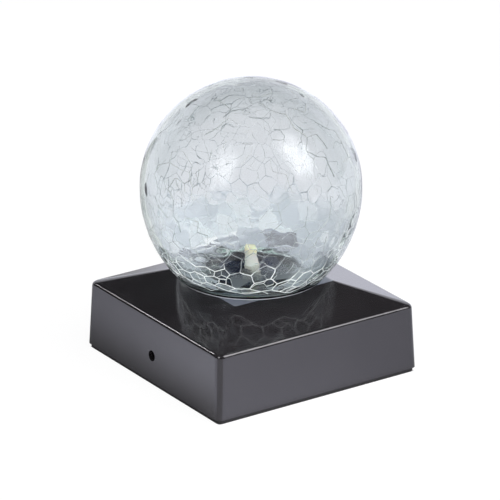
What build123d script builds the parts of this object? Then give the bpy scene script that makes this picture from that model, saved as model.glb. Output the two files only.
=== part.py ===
from build123d import *
import math
import os

# Solar post light: a crackle-glass globe on a square pyramid cap that fits over a garden post.
# All sizes are in millimetres. The origin is the centre of the foot, on the plane it stands on.
# +Z is up, and X and Y run along the sides of the cap.

# Post, and how the cap sits on it
POST_WIDTH = 100.0
POST_CLEARANCE = 0.75
POST_DEPTH = 18.0
STOP_REACH = 2.5
STOP_THICKNESS = 2.0
STOP_SPACING = 64.0

# Foot frame: the lip below the skirt and the tongue inside it
FRAME_DROP = 2.0
FRAME_INSET = 1.0
FRAME_WALL = 0.95
FRAME_TONGUE = 6.0
FRAME_GAP = 0.1
SOCKET_CORNER = 0.6

# Cap shell
SHELL_WALL = 2.2
SKIRT_HEIGHT = 30.0
SKIRT_DRAFT = 2.5
SKIRT_CORNER = 3.4
LEAST_CORNER = 0.5
ROOF_RISE = 9.2
EAVE_ROUNDING = 2.0
PLATEAU_CORNER = 1.2
PLATEAU_ROUNDING = 0.5
SCREW_HOLE_RADIUS = 2.5
SCREW_HOLE_HEIGHT = 14.2

# Glass globe and its neck
GLOBE_RADIUS = 50.0
GLOBE_DROP = 41.2
BASE_RADIUS = 33.0
BASE_ROUNDING = 3.5
BASE_INNER_ROUNDING = 10.0
GLASS_WALL = 2.6
NECK_RADIUS = 22.0
NECK_ROUNDING = 1.2

# Collar with its bayonet, sealant and gasket
SEALANT_GAP = 0.4
COLLAR_WALL = 1.6
COLLAR_LIP = 1.0
COLLAR_LEDGE = 1.8
COLLAR_CLEARANCE = 0.3
LUG_REACH = 1.7
LUG_THICKNESS = 1.8
LUG_WIDTH = 9.0
LUG_CLEARANCE = 0.3
NOTCH_CLEARANCE = 0.5
LUG_STOP_WIDTH = 2.0
GASKET_THICKNESS = 1.0
GASKET_WIDTH = 1.7
PLATEAU_MARGIN = 0.2

# Tray that hangs under the plateau, and the bosses it is screwed to
TRAY_WALL = 1.6
TRAY_CORNER = 6.0
TRAY_GAP = 1.2
LEAD_ROOM = 4.0
BOSS_RADIUS = 3.25
BOSS_CLEARANCE = 0.9
PEDESTAL_GAP = 1.0
PEDESTAL_WALL = 2.9
PEDESTAL_TOP = 1.2
PANEL_SINK = 0.2

# Solar panel and LED
PANEL_RIM = 0.7
PANEL_CLEARANCE = 0.1
PANEL_BOARD = 1.2
CELL_THICKNESS = 0.4
CELL_MARGIN = 1.0
CELL_GAP = 0.8
RESIN_THICKNESS = 0.8
RESIN_BEVEL = 0.4
SPACER_RADIUS = 3.4
SPACER_HEIGHT = 6.0
SPACER_BEVEL = 0.5
LED_RADIUS = 2.5
LED_FLANGE = 2.9
LED_FLANGE_HEIGHT = 1.0
LED_LENGTH = 8.6
LEG_PITCH = 2.54
LEG_SIZE = 0.5
LEG_LENGTH = 11.0
LEG_HOLE = 0.5

# Battery cell, its cradle and contacts
BATTERY_RADIUS = 5.25
BATTERY_LENGTH = 44.5
BATTERY_NUB_RADIUS = 1.9
BATTERY_NUB_LENGTH = 0.9
BATTERY_EDGE = 0.6
BATTERY_GAP = 0.25
CRADLE_RIB = 1.4
CRADLE_LIFT = 1.9
CONTACT_PLATE = 0.6
CONTACT_WIDTH = 8.0
CONTACT_GAP = 0.1
LEAF_DEPTH = 6.0
LEAF_WIDTH = 6.0
LEAF_THICKNESS = 0.4
LEAF_BEND = 1.2
LEAF_END_RISE = 2.0
TAB_SOLDER_WIDTH = 3.0
TAB_SOLDER_REACH = 2.6

# Base cover and the battery door that slides in it
COVER_THICKNESS = 1.6
COVER_GAP = 0.3
POST_BOSS_RADIUS = 3.0
POST_BOSS_INSET = 0.4
DOOR_MARGIN = 0.95
DOOR_CLEARANCE = 0.3
DOOR_INSET = 2.5
DOOR_TRAVEL = 6.0
HOOK_LENGTH = 5.0
HOOK_REACH = 1.5
HOOK_THICKNESS = 1.0
HOOK_RISER = 1.2
HOOK_SPACING = 30.0
GRIP_COUNT = 3
GRIP_HEIGHT = 0.6
GRIP_WIDTH = 0.9
GRIP_PITCH = 2.4

# Circuit board and what it carries
BOARD_WIDTH = 36.0
BOARD_DEPTH = 19.0
BOARD_THICKNESS = 1.2
BOARD_GAP = 6.15
STANDOFF_RADIUS = 2.6
STANDOFF_INSET = 4.0
CHIP_LENGTH = 4.2
CHIP_WIDTH = 3.2
CHIP_HEIGHT = 1.6
CHIP_BEVEL = 0.3
CHIP_OFFSET = 6.0
INDUCTOR_RADIUS = 2.0
INDUCTOR_LENGTH = 8.0
INDUCTOR_WAIST = 1.7
INDUCTOR_END = 2.0
INDUCTOR_OFFSET = 4.5
SWITCH_LENGTH = 8.6
SWITCH_WIDTH = 4.4
SWITCH_HEIGHT = 3.7
SWITCH_GAP = 0.6
SWITCH_WALL = 0.7
KNOB_TRAVEL = 2.0
KNOB_LENGTH = 2.0
KNOB_WIDTH = 1.8
KNOB_PLATE_LENGTH = 4.6
KNOB_PLATE_THICKNESS = 1.2
KNOB_CLEARANCE = 0.2
WINDOW_CLEARANCE = 0.6

# Screws and leads
SCREW_RADIUS = 1.2
SCREW_PILOT_GAP = 0.05
SCREW_HOLE_GAP = 0.35
SCREW_HEAD_RADIUS = 2.7
SCREW_HEAD_HEIGHT = 1.6
SCREW_HEAD_BEVEL = 0.6
SCREW_HEAD_GAP = 0.5
SCREW_GRIP = 4.0
SCREW_END_GAP = 0.4
BOARD_SCREW_RADIUS = 0.9
BOARD_SCREW_HEAD = 1.8
BOARD_SCREW_HEAD_HEIGHT = 1.2
BOARD_SCREW_GRIP = 3.6
LEAD_RADIUS = 0.6
LEAD_BEND = 2.0
LEAD_BEND_SHARE = 0.6

# Bayonet and plateau radii, worked out from the neck outwards
collar_inner = NECK_RADIUS + SEALANT_GAP
collar_outer = collar_inner + COLLAR_WALL
collar_hole = collar_outer + COLLAR_CLEARANCE
lug_radius = collar_outer + LUG_REACH
gasket_inner = collar_hole + COLLAR_CLEARANCE
gasket_outer = gasket_inner + GASKET_WIDTH
plateau_half = gasket_outer + PLATEAU_MARGIN

# Skirt half widths, worked out from the post outwards
draft_slope = math.tan(math.radians(SKIRT_DRAFT))
socket_half = POST_WIDTH / 2 + POST_CLEARANCE
tongue_half = socket_half + FRAME_WALL
skirt_inner_half = tongue_half + FRAME_GAP + draft_slope * FRAME_TONGUE
skirt_half = skirt_inner_half + SHELL_WALL
eave_half = skirt_half - draft_slope * SKIRT_HEIGHT
inner_corner = max(SKIRT_CORNER - SHELL_WALL, LEAST_CORNER)
roof_slope = ROOF_RISE / (eave_half - plateau_half)

# Heights of the shell and the globe
skirt_z = FRAME_DROP
eave_z = skirt_z + SKIRT_HEIGHT
plateau_z = eave_z + ROOF_RISE
ceiling_z = plateau_z - SHELL_WALL
shoulder_z = plateau_z + GASKET_THICKNESS
equator_z = shoulder_z + GLOBE_DROP
lug_top = ceiling_z - LUG_CLEARANCE
lug_bottom = lug_top - LUG_THICKNESS
collar_bottom = lug_bottom - COLLAR_LIP
collar_top = shoulder_z - NECK_ROUNDING

# Battery stack along X: leaf contact, cell, plate contact
stack_half = (LEAF_DEPTH + BATTERY_LENGTH + CONTACT_PLATE + 2 * CONTACT_GAP) / 2
leaf_back_x = -stack_half
cell_start_x = leaf_back_x + LEAF_DEPTH + CONTACT_GAP
cell_end_x = cell_start_x + BATTERY_LENGTH
plate_x = cell_end_x + CONTACT_GAP
tray_inner_half = stack_half + CRADLE_RIB + LEAD_ROOM
tray_half = tray_inner_half + TRAY_WALL

# Heights of the tray and what hangs in it
roof_at_tray = ceiling_z - max(0.0, tray_half - plateau_half) * roof_slope
tray_top = min(collar_bottom, roof_at_tray) - TRAY_GAP
tray_under = tray_top - TRAY_WALL
battery_z = tray_under - BATTERY_GAP - BATTERY_RADIUS
cover_top = battery_z - BATTERY_RADIUS - COVER_GAP
cover_bottom = cover_top - COVER_THICKNESS
hook_bottom = cover_top + DOOR_CLEARANCE
hook_top = hook_bottom + HOOK_THICKNESS
cradle_bottom = cover_top + CRADLE_LIFT
switch_bottom = cover_top + SWITCH_GAP
board_bottom = switch_bottom + SWITCH_HEIGHT
board_top = board_bottom + BOARD_THICKNESS

# Places in plan
boss_offset = (lug_radius + BOSS_CLEARANCE + BOSS_RADIUS) / math.sqrt(2)
post_boss_offset = tray_inner_half - POST_BOSS_RADIUS - POST_BOSS_INSET
cradle_half = BATTERY_RADIUS + BATTERY_GAP
battery_y = boss_offset - SCREW_HEAD_RADIUS - SCREW_HEAD_GAP - CRADLE_RIB - cradle_half
cradle_near_y = battery_y - cradle_half - CRADLE_RIB
board_y = -tray_inner_half + BOARD_GAP + BOARD_DEPTH / 2
board_edge_y = board_y + BOARD_DEPTH / 2
switch_y = board_y
door_half = BATTERY_RADIUS + DOOR_MARGIN
door_start_x = -tray_inner_half + DOOR_INSET
door_middle_x = (door_start_x + tray_half) / 2

# Panel and LED
pedestal_radius = NECK_RADIUS - GLASS_WALL - PEDESTAL_GAP
pedestal_bore = pedestal_radius - PEDESTAL_WALL
panel_seat = plateau_z - PANEL_SINK
panel_radius = pedestal_radius - PANEL_RIM - PANEL_CLEARANCE
panel_hole = SPACER_RADIUS + PANEL_CLEARANCE
cell_bottom = panel_seat + PANEL_BOARD
resin_bottom = cell_bottom + CELL_THICKNESS
resin_top = resin_bottom + RESIN_THICKNESS
led_base = panel_seat + SPACER_HEIGHT
leg_end = led_base - LEG_LENGTH

# Places that several pieces share
plate_tab_x = (plate_x, plate_x + CONTACT_PLATE)
leaf_tab_x = (leaf_back_x, leaf_back_x + LEAF_THICKNESS)
panel_lead_x = pedestal_bore / 2
panel_lead_y = -pedestal_bore / 2
board_screw_y = board_y - BOARD_DEPTH / 2 + STANDOFF_INSET
board_screw_places = [(side * (BOARD_WIDTH / 2 - STANDOFF_INSET), board_screw_y) for side in (-1, 1)]
chip_row_y = board_screw_y
knob_plate_top = switch_bottom + SWITCH_WALL + KNOB_CLEARANCE + KNOB_PLATE_THICKNESS

LEVEL_TOLERANCE = 0.001
FOUR_CORNERS = ((1, 1), (-1, 1), (-1, -1), (1, -1))


def cylinder(radius, bottom, top, x=0.0, y=0.0):
    """Upright cylinder between two heights."""
    return Pos(x, y, (bottom + top) / 2) * Cylinder(radius, top - bottom)


def ring(outer, inner, bottom, top):
    """Upright ring between two heights."""
    return cylinder(outer, bottom, top) - cylinder(inner, bottom, top)


def block(x_range, y_range, z_range):
    """Box between two values on each axis."""
    ranges = (x_range, y_range, z_range)
    middle = [(low + high) / 2 for low, high in ranges]
    size = [high - low for low, high in ranges]
    return Pos(*middle) * Box(*size)


def square_face(half, corner, z):
    """Square with rounded corners at one height."""
    return Pos(0, 0, z) * RectangleRounded(2 * half, 2 * half, corner)


def square_plate(half, corner, bottom, top):
    """Square plate with rounded corners between two heights."""
    return extrude(square_face(half, corner, bottom), amount=top - bottom)


def corners(offset):
    """Four places at the same offset from both axes."""
    return [(x * offset, y * offset) for x, y in FOUR_CORNERS]


def near_height(shape, z):
    """Edges that lie level at one height."""
    found = []
    for edge in shape.edges():
        box = edge.bounding_box()
        if abs(box.min.Z - z) + abs(box.max.Z - z) < LEVEL_TOLERANCE:
            found.append(edge)
    return found


def screw(radius, head_radius, head_height, length, seat, x, y):
    """Pan-head screw that points up, its head under the height of its seat."""
    head = cylinder(head_radius, seat - head_height, seat, x, y)
    head = chamfer(near_height(head, seat - head_height), SCREW_HEAD_BEVEL)
    return head + cylinder(radius, seat, seat + length, x, y)


def case_screw(length, seat, x, y):
    """Screw of the size that holds the tray and the cover."""
    return screw(SCREW_RADIUS, SCREW_HEAD_RADIUS, SCREW_HEAD_HEIGHT, length, seat, x, y)


def lead(points):
    """Insulated lead along straight runs joined by arcs, each arc no larger than its runs allow."""
    runs = [(Vector(*b) - Vector(*a)).length for a, b in zip(points, points[1:])]
    path = FilletPolyline(*points, radius=min(LEAD_BEND, LEAD_BEND_SHARE * min(runs)))
    start = Plane(origin=path @ 0, z_dir=path % 0)
    return sweep(start * Circle(LEAD_RADIUS), path=path)


def cap_outline():
    """Outside of the cap as one solid: drafted skirt, pyramid roof and plateau."""
    foot = square_face(skirt_half, SKIRT_CORNER, skirt_z)
    eave = square_face(eave_half, SKIRT_CORNER, eave_z)
    plateau = square_face(plateau_half, PLATEAU_CORNER, plateau_z)
    skirt = loft([foot, eave])
    roof = loft([eave, plateau], ruled=True)
    body = skirt + roof
    body = fillet(near_height(body, eave_z), EAVE_ROUNDING)
    return fillet(near_height(body, plateau_z), PLATEAU_ROUNDING)


def cap_cavity(outline):
    """Inside of the cap: the skirt's walls moved in, under the roof moved down."""
    top_half = skirt_inner_half - draft_slope * (plateau_z - skirt_z)
    mouth = square_face(skirt_inner_half, inner_corner, skirt_z)
    top = square_face(top_half, inner_corner, plateau_z)
    return loft([mouth, top]) & (Pos(0, 0, -SHELL_WALL) * outline)


def post_stops(outline):
    """Ribs down the inside of the skirt whose lower ends rest on the post's top."""
    inner = POST_WIDTH / 2 - STOP_REACH
    ribs = []
    for quarter in range(4):
        for side in (-1, 1):
            y = side * STOP_SPACING / 2
            rib = block(
                (inner, skirt_inner_half),
                (y - STOP_THICKNESS / 2, y + STOP_THICKNESS / 2),
                (POST_DEPTH, eave_z),
            )
            ribs.append(Rot(0, 0, 90 * quarter) * rib)
    return [rib & outline for rib in ribs]


def bayonet_cut():
    """Round hole in the plateau, with four notches on the diagonals that let the lugs through."""
    low, high = ceiling_z - SHELL_WALL, plateau_z + SHELL_WALL
    reach = lug_radius + NOTCH_CLEARANCE
    half = LUG_WIDTH / 2 + NOTCH_CLEARANCE
    bar = block((-reach, reach), (-half, half), (low, high))
    cross = Rot(0, 0, 45) * bar + Rot(0, 0, 135) * bar
    return cylinder(collar_hole, low, high) + (cylinder(reach, low, high) & cross)


def lug_stops():
    """Blocks under the plateau that the lugs turn back against."""
    start = LUG_WIDTH / 2 + LUG_CLEARANCE
    stop = block(
        (collar_hole, lug_radius + LUG_CLEARANCE),
        (-start - LUG_STOP_WIDTH, -start),
        (lug_bottom, ceiling_z + SHELL_WALL / 2),
    )
    return [Rot(0, 0, 90 * quarter) * stop for quarter in range(4)]


def cap_shell():
    """Moulded cap with post stops, lug stops and tray bosses under its roof."""
    outline = cap_outline()
    shell = outline - cap_cavity(outline)
    for rib in post_stops(outline):
        shell += rib
    pilot = SCREW_RADIUS + SCREW_PILOT_GAP
    for x, y in corners(boss_offset):
        shell += cylinder(BOSS_RADIUS, tray_top, plateau_z, x, y) & outline
        shell -= cylinder(pilot, tray_top, tray_top + SCREW_GRIP + SCREW_END_GAP, x, y)
    for stop in lug_stops():
        shell += stop & outline
    shell -= bayonet_cut()
    side_hole = Rot(0, 90, 0) * Cylinder(SCREW_HOLE_RADIUS, 2 * (skirt_half + SHELL_WALL))
    return shell - Pos(0, 0, SCREW_HOLE_HEIGHT) * side_hole


def foot_frame():
    """Frame under the skirt: a lip that shows, and a tongue that fits inside the skirt."""
    lip = square_plate(skirt_half - FRAME_INSET, SKIRT_CORNER - FRAME_INSET, 0, skirt_z)
    tongue = square_plate(tongue_half, inner_corner, skirt_z, skirt_z + FRAME_TONGUE)
    socket = square_plate(socket_half, SOCKET_CORNER, 0, skirt_z + FRAME_TONGUE)
    return lip + tongue - socket


def globe_section(inset, base_rounding):
    """Half section of the globe with its neck, taken in on every side by the inset."""
    step = GLOBE_RADIUS - BASE_RADIUS
    lower_radius = (GLOBE_DROP**2 + step**2) / (2 * step)
    lower_centre = GLOBE_RADIUS - lower_radius
    ball, low = GLOBE_RADIUS - inset, lower_radius - inset
    shoulder = shoulder_z + inset
    neck = NECK_RADIUS - inset
    base = lower_centre + math.sqrt(low**2 - (equator_z - shoulder) ** 2)
    slant = math.asin((equator_z - shoulder) / low) / 2
    top = (0, equator_z + ball)
    side = (ball, equator_z)
    upper_middle = (ball * math.sqrt(0.5), equator_z + ball * math.sqrt(0.5))
    lower_middle = (lower_centre + low * math.cos(slant), equator_z - low * math.sin(slant))
    neck_end = lug_bottom - 2 * inset
    outline = [
        ThreePointArc(top, upper_middle, side),
        ThreePointArc(side, lower_middle, (base, shoulder)),
        Polyline((base, shoulder), (neck, shoulder), (neck, neck_end), (0, neck_end), top),
    ]
    section = make_face(outline)
    at_base = section.vertices().sort_by_distance((base, shoulder, 0))[0]
    section = fillet(at_base, base_rounding)
    at_neck = section.vertices().sort_by_distance((neck, shoulder, 0))[0]
    return fillet(at_neck, NECK_ROUNDING + inset)


def glass_globe():
    """Blown ball with a flat base and a short neck, open at the neck."""
    outside = revolve(Plane.XZ * globe_section(0.0, BASE_ROUNDING), Axis.Z)
    inside = revolve(Plane.XZ * globe_section(GLASS_WALL, BASE_INNER_ROUNDING), Axis.Z)
    return outside - inside


def globe_collar():
    """Ring round the neck with a ledge under the glass and four bayonet lugs."""
    collar = ring(collar_outer, collar_inner, collar_bottom, collar_top)
    collar += ring(collar_outer, NECK_RADIUS - COLLAR_LEDGE, collar_bottom, lug_bottom)
    bar = block((-lug_radius, lug_radius), (-LUG_WIDTH / 2, LUG_WIDTH / 2), (lug_bottom, lug_top))
    cross = bar + Rot(0, 0, 90) * bar
    return collar + (ring(lug_radius, collar_inner, lug_bottom, lug_top) & cross)


def neck_sealant():
    """Silicone that bonds the neck into the collar."""
    return ring(collar_inner, NECK_RADIUS, lug_bottom, collar_top)


def globe_gasket():
    """Flat ring between the globe's base and the plateau."""
    return ring(gasket_outer, gasket_inner, plateau_z, shoulder_z)


def tray_pedestal():
    """Round seat in the globe's neck for the panel, cored out from below."""
    seat = cylinder(pedestal_radius, tray_under, panel_seat)
    seat += ring(pedestal_radius, pedestal_radius - PANEL_RIM, panel_seat, resin_top)
    return seat - cylinder(pedestal_bore, tray_under - TRAY_WALL, panel_seat - PEDESTAL_TOP)


def lead_holes():
    """Holes in the pedestal's top for the LED's legs and the panel's leads."""
    low, high = panel_seat - 2 * PEDESTAL_TOP, panel_seat + PEDESTAL_TOP
    holes = [cylinder(LEG_HOLE, low, high, side * LEG_PITCH / 2, 0) for side in (-1, 1)]
    radius = LEAD_RADIUS + WINDOW_CLEARANCE
    return holes + [cylinder(radius, low, high, side * panel_lead_x, panel_lead_y) for side in (-1, 1)]


def battery_cradle():
    """Ribs under the tray's floor that hold the cell and back up its contacts."""
    span = (leaf_back_x - CRADLE_RIB, plate_x + CONTACT_PLATE + CRADLE_RIB)
    height = (cradle_bottom, tray_under)
    far_y = battery_y + cradle_half
    ribs = [
        block(span, (cradle_near_y, cradle_near_y + CRADLE_RIB), height),
        block(span, (far_y, far_y + CRADLE_RIB), height),
    ]
    for x in (span[0], span[1] - CRADLE_RIB):
        ribs.append(block((x, x + CRADLE_RIB), (cradle_near_y, far_y + CRADLE_RIB), height))
    return ribs


def solder_tab(x_range):
    """Tab of a contact that reaches through the cradle's near rib."""
    y_range = (cradle_near_y - TAB_SOLDER_REACH, battery_y)
    return block(x_range, y_range, (battery_z, battery_z + TAB_SOLDER_WIDTH))


def solder_slot(x_range):
    """Slot in the cradle's near rib for a solder tab."""
    x_range = (x_range[0] - CONTACT_GAP, x_range[1] + CONTACT_GAP)
    z_range = (cradle_bottom, battery_z + TAB_SOLDER_WIDTH + CONTACT_GAP)
    return block(x_range, (cradle_near_y, cradle_near_y + CRADLE_RIB), z_range)


def lamp_tray():
    """Square tray under the plateau, open below, with the panel's pedestal on top."""
    corner = TRAY_CORNER - TRAY_WALL
    tray = square_plate(tray_half, TRAY_CORNER, cover_top, tray_top)
    tray -= square_plate(tray_inner_half, corner, cover_top, tray_under)
    tray += tray_pedestal()
    tray -= cylinder(pedestal_bore, tray_under, tray_top)
    for rib in battery_cradle():
        tray += rib
    for x_range in (plate_tab_x, leaf_tab_x):
        tray -= solder_slot(x_range)
    board_pilot = BOARD_SCREW_RADIUS + SCREW_PILOT_GAP
    board_pilot_end = board_top + BOARD_SCREW_GRIP + SCREW_END_GAP
    for x, y in board_screw_places:
        tray += cylinder(STANDOFF_RADIUS, board_top, tray_under, x, y)
        tray -= cylinder(board_pilot, board_top, board_pilot_end, x, y)
    pilot = SCREW_RADIUS + SCREW_PILOT_GAP
    pilot_end = cover_top + SCREW_GRIP + SCREW_END_GAP
    for x, y in corners(post_boss_offset):
        tray += cylinder(POST_BOSS_RADIUS, cover_top, tray_under, x, y)
        tray -= cylinder(pilot, cover_top, pilot_end, x, y)
    for x, y in corners(boss_offset):
        tray -= cylinder(SCREW_RADIUS + SCREW_HOLE_GAP, tray_under, tray_top, x, y)
    for hole in lead_holes():
        tray -= hole
    return tray


def tray_screws():
    """Four screws that hold the tray up to the shell's bosses."""
    length = TRAY_WALL + SCREW_GRIP
    return Compound([case_screw(length, tray_under, x, y) for x, y in corners(boss_offset)])


def panel_board():
    """Round base of the solar panel with a hole for the LED's spacer."""
    return ring(panel_radius, panel_hole, panel_seat, cell_bottom)


def solar_cells():
    """Four quarter-ring cells with a cross-shaped gap between them."""
    cells = ring(panel_radius - CELL_MARGIN, panel_hole + CELL_MARGIN, cell_bottom, resin_bottom)
    bar = block((-panel_radius, panel_radius), (-CELL_GAP / 2, CELL_GAP / 2), (cell_bottom, resin_bottom))
    return Compound((cells - bar - Rot(0, 0, 90) * bar).solids())


def panel_resin():
    """Clear cover over the cells, with bevelled edges and a skirt that closes it on the board."""
    cover = ring(panel_radius, panel_hole, cell_bottom, resin_top)
    cover = chamfer(near_height(cover, resin_top), RESIN_BEVEL)
    pocket = ring(panel_radius - CELL_MARGIN, panel_hole + CELL_MARGIN, cell_bottom, resin_bottom)
    return cover - pocket


def led_spacer():
    """Pale plastic post that lifts the LED above the panel, with holes for its legs."""
    post = cylinder(SPACER_RADIUS, panel_seat, led_base)
    post = chamfer(near_height(post, led_base), SPACER_BEVEL)
    for side in (-1, 1):
        post -= cylinder(LEG_HOLE, panel_seat, led_base, side * LEG_PITCH / 2, 0)
    return post


def led_lamp():
    """LED body: a flange, a straight barrel and a round dome."""
    dome = led_base + LED_LENGTH - LED_RADIUS
    flange = led_base + LED_FLANGE_HEIGHT
    peak = dome + LED_RADIUS
    bulge = (LED_RADIUS * math.sqrt(0.5), dome + LED_RADIUS * math.sqrt(0.5))
    outline = [
        Polyline(
            (0, peak), (0, led_base), (LED_FLANGE, led_base), (LED_FLANGE, flange), (LED_RADIUS, flange),
            (LED_RADIUS, dome),
        ),
        ThreePointArc((LED_RADIUS, dome), bulge, (0, peak)),
    ]
    return revolve(Plane.XZ * make_face(outline), Axis.Z)


def led_legs():
    """Two square legs that run down from the LED through its spacer."""
    half = LEG_SIZE / 2
    legs = []
    for side in (-1, 1):
        x = side * LEG_PITCH / 2
        legs.append(block((x - half, x + half), (-half, half), (leg_end, led_base)))
    return Compound(legs)


def circuit_board():
    """Control board under the tray's floor, on two standoffs."""
    half = BOARD_WIDTH / 2
    board = block((-half, half), (board_y - BOARD_DEPTH / 2, board_edge_y), (board_bottom, board_top))
    for x, y in board_screw_places:
        board -= cylinder(BOARD_SCREW_RADIUS + SCREW_HOLE_GAP, board_bottom, board_top, x, y)
    return board


def board_screws():
    """Two small screws that hold the board to its standoffs."""
    length = BOARD_THICKNESS + BOARD_SCREW_GRIP
    return Compound([
        screw(BOARD_SCREW_RADIUS, BOARD_SCREW_HEAD, BOARD_SCREW_HEAD_HEIGHT, length, board_bottom, x, y)
        for x, y in board_screw_places
    ])


def driver_chip():
    """Driver chip on top of the board, with a chamfered face."""
    chip_top = board_top + CHIP_HEIGHT
    middle = Pos(-CHIP_OFFSET, chip_row_y, (board_top + chip_top) / 2)
    chip = middle * Box(CHIP_LENGTH, CHIP_WIDTH, CHIP_HEIGHT)
    return chamfer(near_height(chip, chip_top), CHIP_BEVEL)


def inductor():
    """Small axial inductor lying on the board, waisted between its two end caps."""
    body = Cylinder(INDUCTOR_WAIST, INDUCTOR_LENGTH)
    end = Cylinder(INDUCTOR_RADIUS, INDUCTOR_END)
    for side in (-1, 1):
        body += Pos(0, 0, side * (INDUCTOR_LENGTH - INDUCTOR_END) / 2) * end
    return Pos(INDUCTOR_OFFSET, chip_row_y, board_top + INDUCTOR_RADIUS) * Rot(0, 90, 0) * body


def switch_case():
    """Slide switch under the board: a case with a cavity and a slot for its knob."""
    half_x, half_y = SWITCH_LENGTH / 2, SWITCH_WIDTH / 2
    case = block((-half_x, half_x), (switch_y - half_y, switch_y + half_y), (switch_bottom, board_bottom))
    room_x = (KNOB_PLATE_LENGTH + KNOB_TRAVEL) / 2 + KNOB_CLEARANCE
    room_y = half_y - SWITCH_WALL
    room_z = (switch_bottom + SWITCH_WALL, knob_plate_top + KNOB_CLEARANCE)
    case -= block((-room_x, room_x), (switch_y - room_y, switch_y + room_y), room_z)
    slot_x = (KNOB_LENGTH + KNOB_TRAVEL) / 2 + KNOB_CLEARANCE
    slot_y = KNOB_WIDTH / 2 + KNOB_CLEARANCE
    slot_z = (switch_bottom, switch_bottom + SWITCH_WALL)
    return case - block((-slot_x, slot_x), (switch_y - slot_y, switch_y + slot_y), slot_z)


def switch_knob():
    """Knob of the slide switch at its off end: a plate inside the case and a stem out of the cover."""
    x = -KNOB_TRAVEL / 2
    plate_half = KNOB_PLATE_LENGTH / 2
    plate_y = SWITCH_WIDTH / 2 - SWITCH_WALL - KNOB_CLEARANCE
    plate = block(
        (x - plate_half, x + plate_half),
        (switch_y - plate_y, switch_y + plate_y),
        (switch_bottom + SWITCH_WALL + KNOB_CLEARANCE, knob_plate_top),
    )
    stem = block(
        (x - KNOB_LENGTH / 2, x + KNOB_LENGTH / 2),
        (switch_y - KNOB_WIDTH / 2, switch_y + KNOB_WIDTH / 2),
        (cover_bottom, knob_plate_top),
    )
    return plate + stem


def battery_cell():
    """Rechargeable cell lying along X, its positive nub towards +X."""
    can = BATTERY_LENGTH - BATTERY_NUB_LENGTH
    outline = Polyline(
        (0, 0), (BATTERY_RADIUS, 0), (BATTERY_RADIUS, can), (BATTERY_NUB_RADIUS, can),
        (BATTERY_NUB_RADIUS, BATTERY_LENGTH), (0, BATTERY_LENGTH), (0, 0),
    )
    cell = revolve(Plane.XZ * make_face(outline), Axis.Z)
    rims = near_height(cell, 0) + near_height(cell, can)
    wide = [edge for edge in rims if edge.radius > BATTERY_NUB_RADIUS]
    cell = chamfer(wide, BATTERY_EDGE)
    return Pos(cell_start_x, battery_y, battery_z) * Rot(0, 90, 0) * cell


def battery_leaf():
    """Negative contact: a strip that stands on the cradle's end and bows out to the cell."""
    back = leaf_back_x + LEAF_THICKNESS / 2
    front = cell_start_x - CONTACT_GAP - LEAF_THICKNESS / 2
    reach = CONTACT_WIDTH / 2
    path = FilletPolyline(
        (back, battery_z + reach),
        (back, battery_z - reach),
        (back + LEAF_DEPTH / 2, battery_z - reach),
        (front, battery_z),
        (back + LEAF_DEPTH / 2, battery_z + LEAF_END_RISE),
        radius=LEAF_BEND,
    )
    strip = extrude(Plane.XZ * trace(path, LEAF_THICKNESS), amount=LEAF_WIDTH / 2, both=True)
    return Pos(0, battery_y, 0) * strip + solder_tab(leaf_tab_x)


def battery_plate():
    """Positive contact: a plate against the cradle's end, with its solder tab."""
    half = CONTACT_WIDTH / 2
    plate = block(plate_tab_x, (battery_y - half, battery_y + half), (battery_z - half, battery_z + half))
    return plate + solder_tab(plate_tab_x)


def hook_places():
    """Middles of the door's hooks along X."""
    return (door_middle_x - HOOK_SPACING / 2, door_middle_x + HOOK_SPACING / 2)


def base_cover():
    """Plate that closes the tray, with a way in for the door and a window for the switch."""
    cover = square_plate(tray_half, TRAY_CORNER, cover_bottom, cover_top)
    depth = (cover_bottom, cover_top)
    wide = door_half + DOOR_CLEARANCE
    way_in_x = (door_start_x - DOOR_CLEARANCE, tray_half + DOOR_CLEARANCE)
    cover -= block(way_in_x, (battery_y - wide, battery_y + wide), depth)
    reach = wide + HOOK_REACH + DOOR_CLEARANCE
    half = HOOK_LENGTH / 2 + DOOR_CLEARANCE
    for x in hook_places():
        x += DOOR_TRAVEL
        cover -= block((x - half, x + half), (battery_y - reach, battery_y + reach), depth)
    window_x = (KNOB_LENGTH + KNOB_TRAVEL) / 2 + WINDOW_CLEARANCE
    window_y = KNOB_WIDTH / 2 + WINDOW_CLEARANCE
    cover -= block((-window_x, window_x), (switch_y - window_y, switch_y + window_y), depth)
    hole = SCREW_RADIUS + SCREW_HOLE_GAP
    for x, y in corners(post_boss_offset):
        cover -= cylinder(hole, cover_bottom, cover_top, x, y)
    return cover


def cover_screws():
    """Four screws that hold the cover to the tray's corner posts."""
    length = COVER_THICKNESS + SCREW_GRIP
    return Compound([case_screw(length, cover_bottom, x, y) for x, y in corners(post_boss_offset)])


def battery_door():
    """Sliding door under the cell: a plate with hooks over the cover and finger grips below."""
    across = (battery_y - door_half, battery_y + door_half)
    door = block((door_start_x, tray_half), across, (cover_bottom, cover_top))
    reach = door_half + DOOR_CLEARANCE + HOOK_REACH
    for x in hook_places():
        span = (x - HOOK_LENGTH / 2, x + HOOK_LENGTH / 2)
        for side in (-1, 1):
            root = battery_y + side * (door_half - HOOK_RISER)
            riser = sorted((root, battery_y + side * door_half))
            arm = sorted((root, battery_y + side * reach))
            door += block(span, riser, (cover_top, hook_top))
            door += block(span, arm, (hook_bottom, hook_top))
    for row in range(GRIP_COUNT):
        x = tray_half - (row + 1) * GRIP_PITCH
        grip = block(
            (x - GRIP_WIDTH / 2, x + GRIP_WIDTH / 2),
            (battery_y - door_half + DOOR_MARGIN, battery_y + door_half - DOOR_MARGIN),
            (cover_bottom - GRIP_HEIGHT, cover_bottom),
        )
        door += grip
    return door


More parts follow.
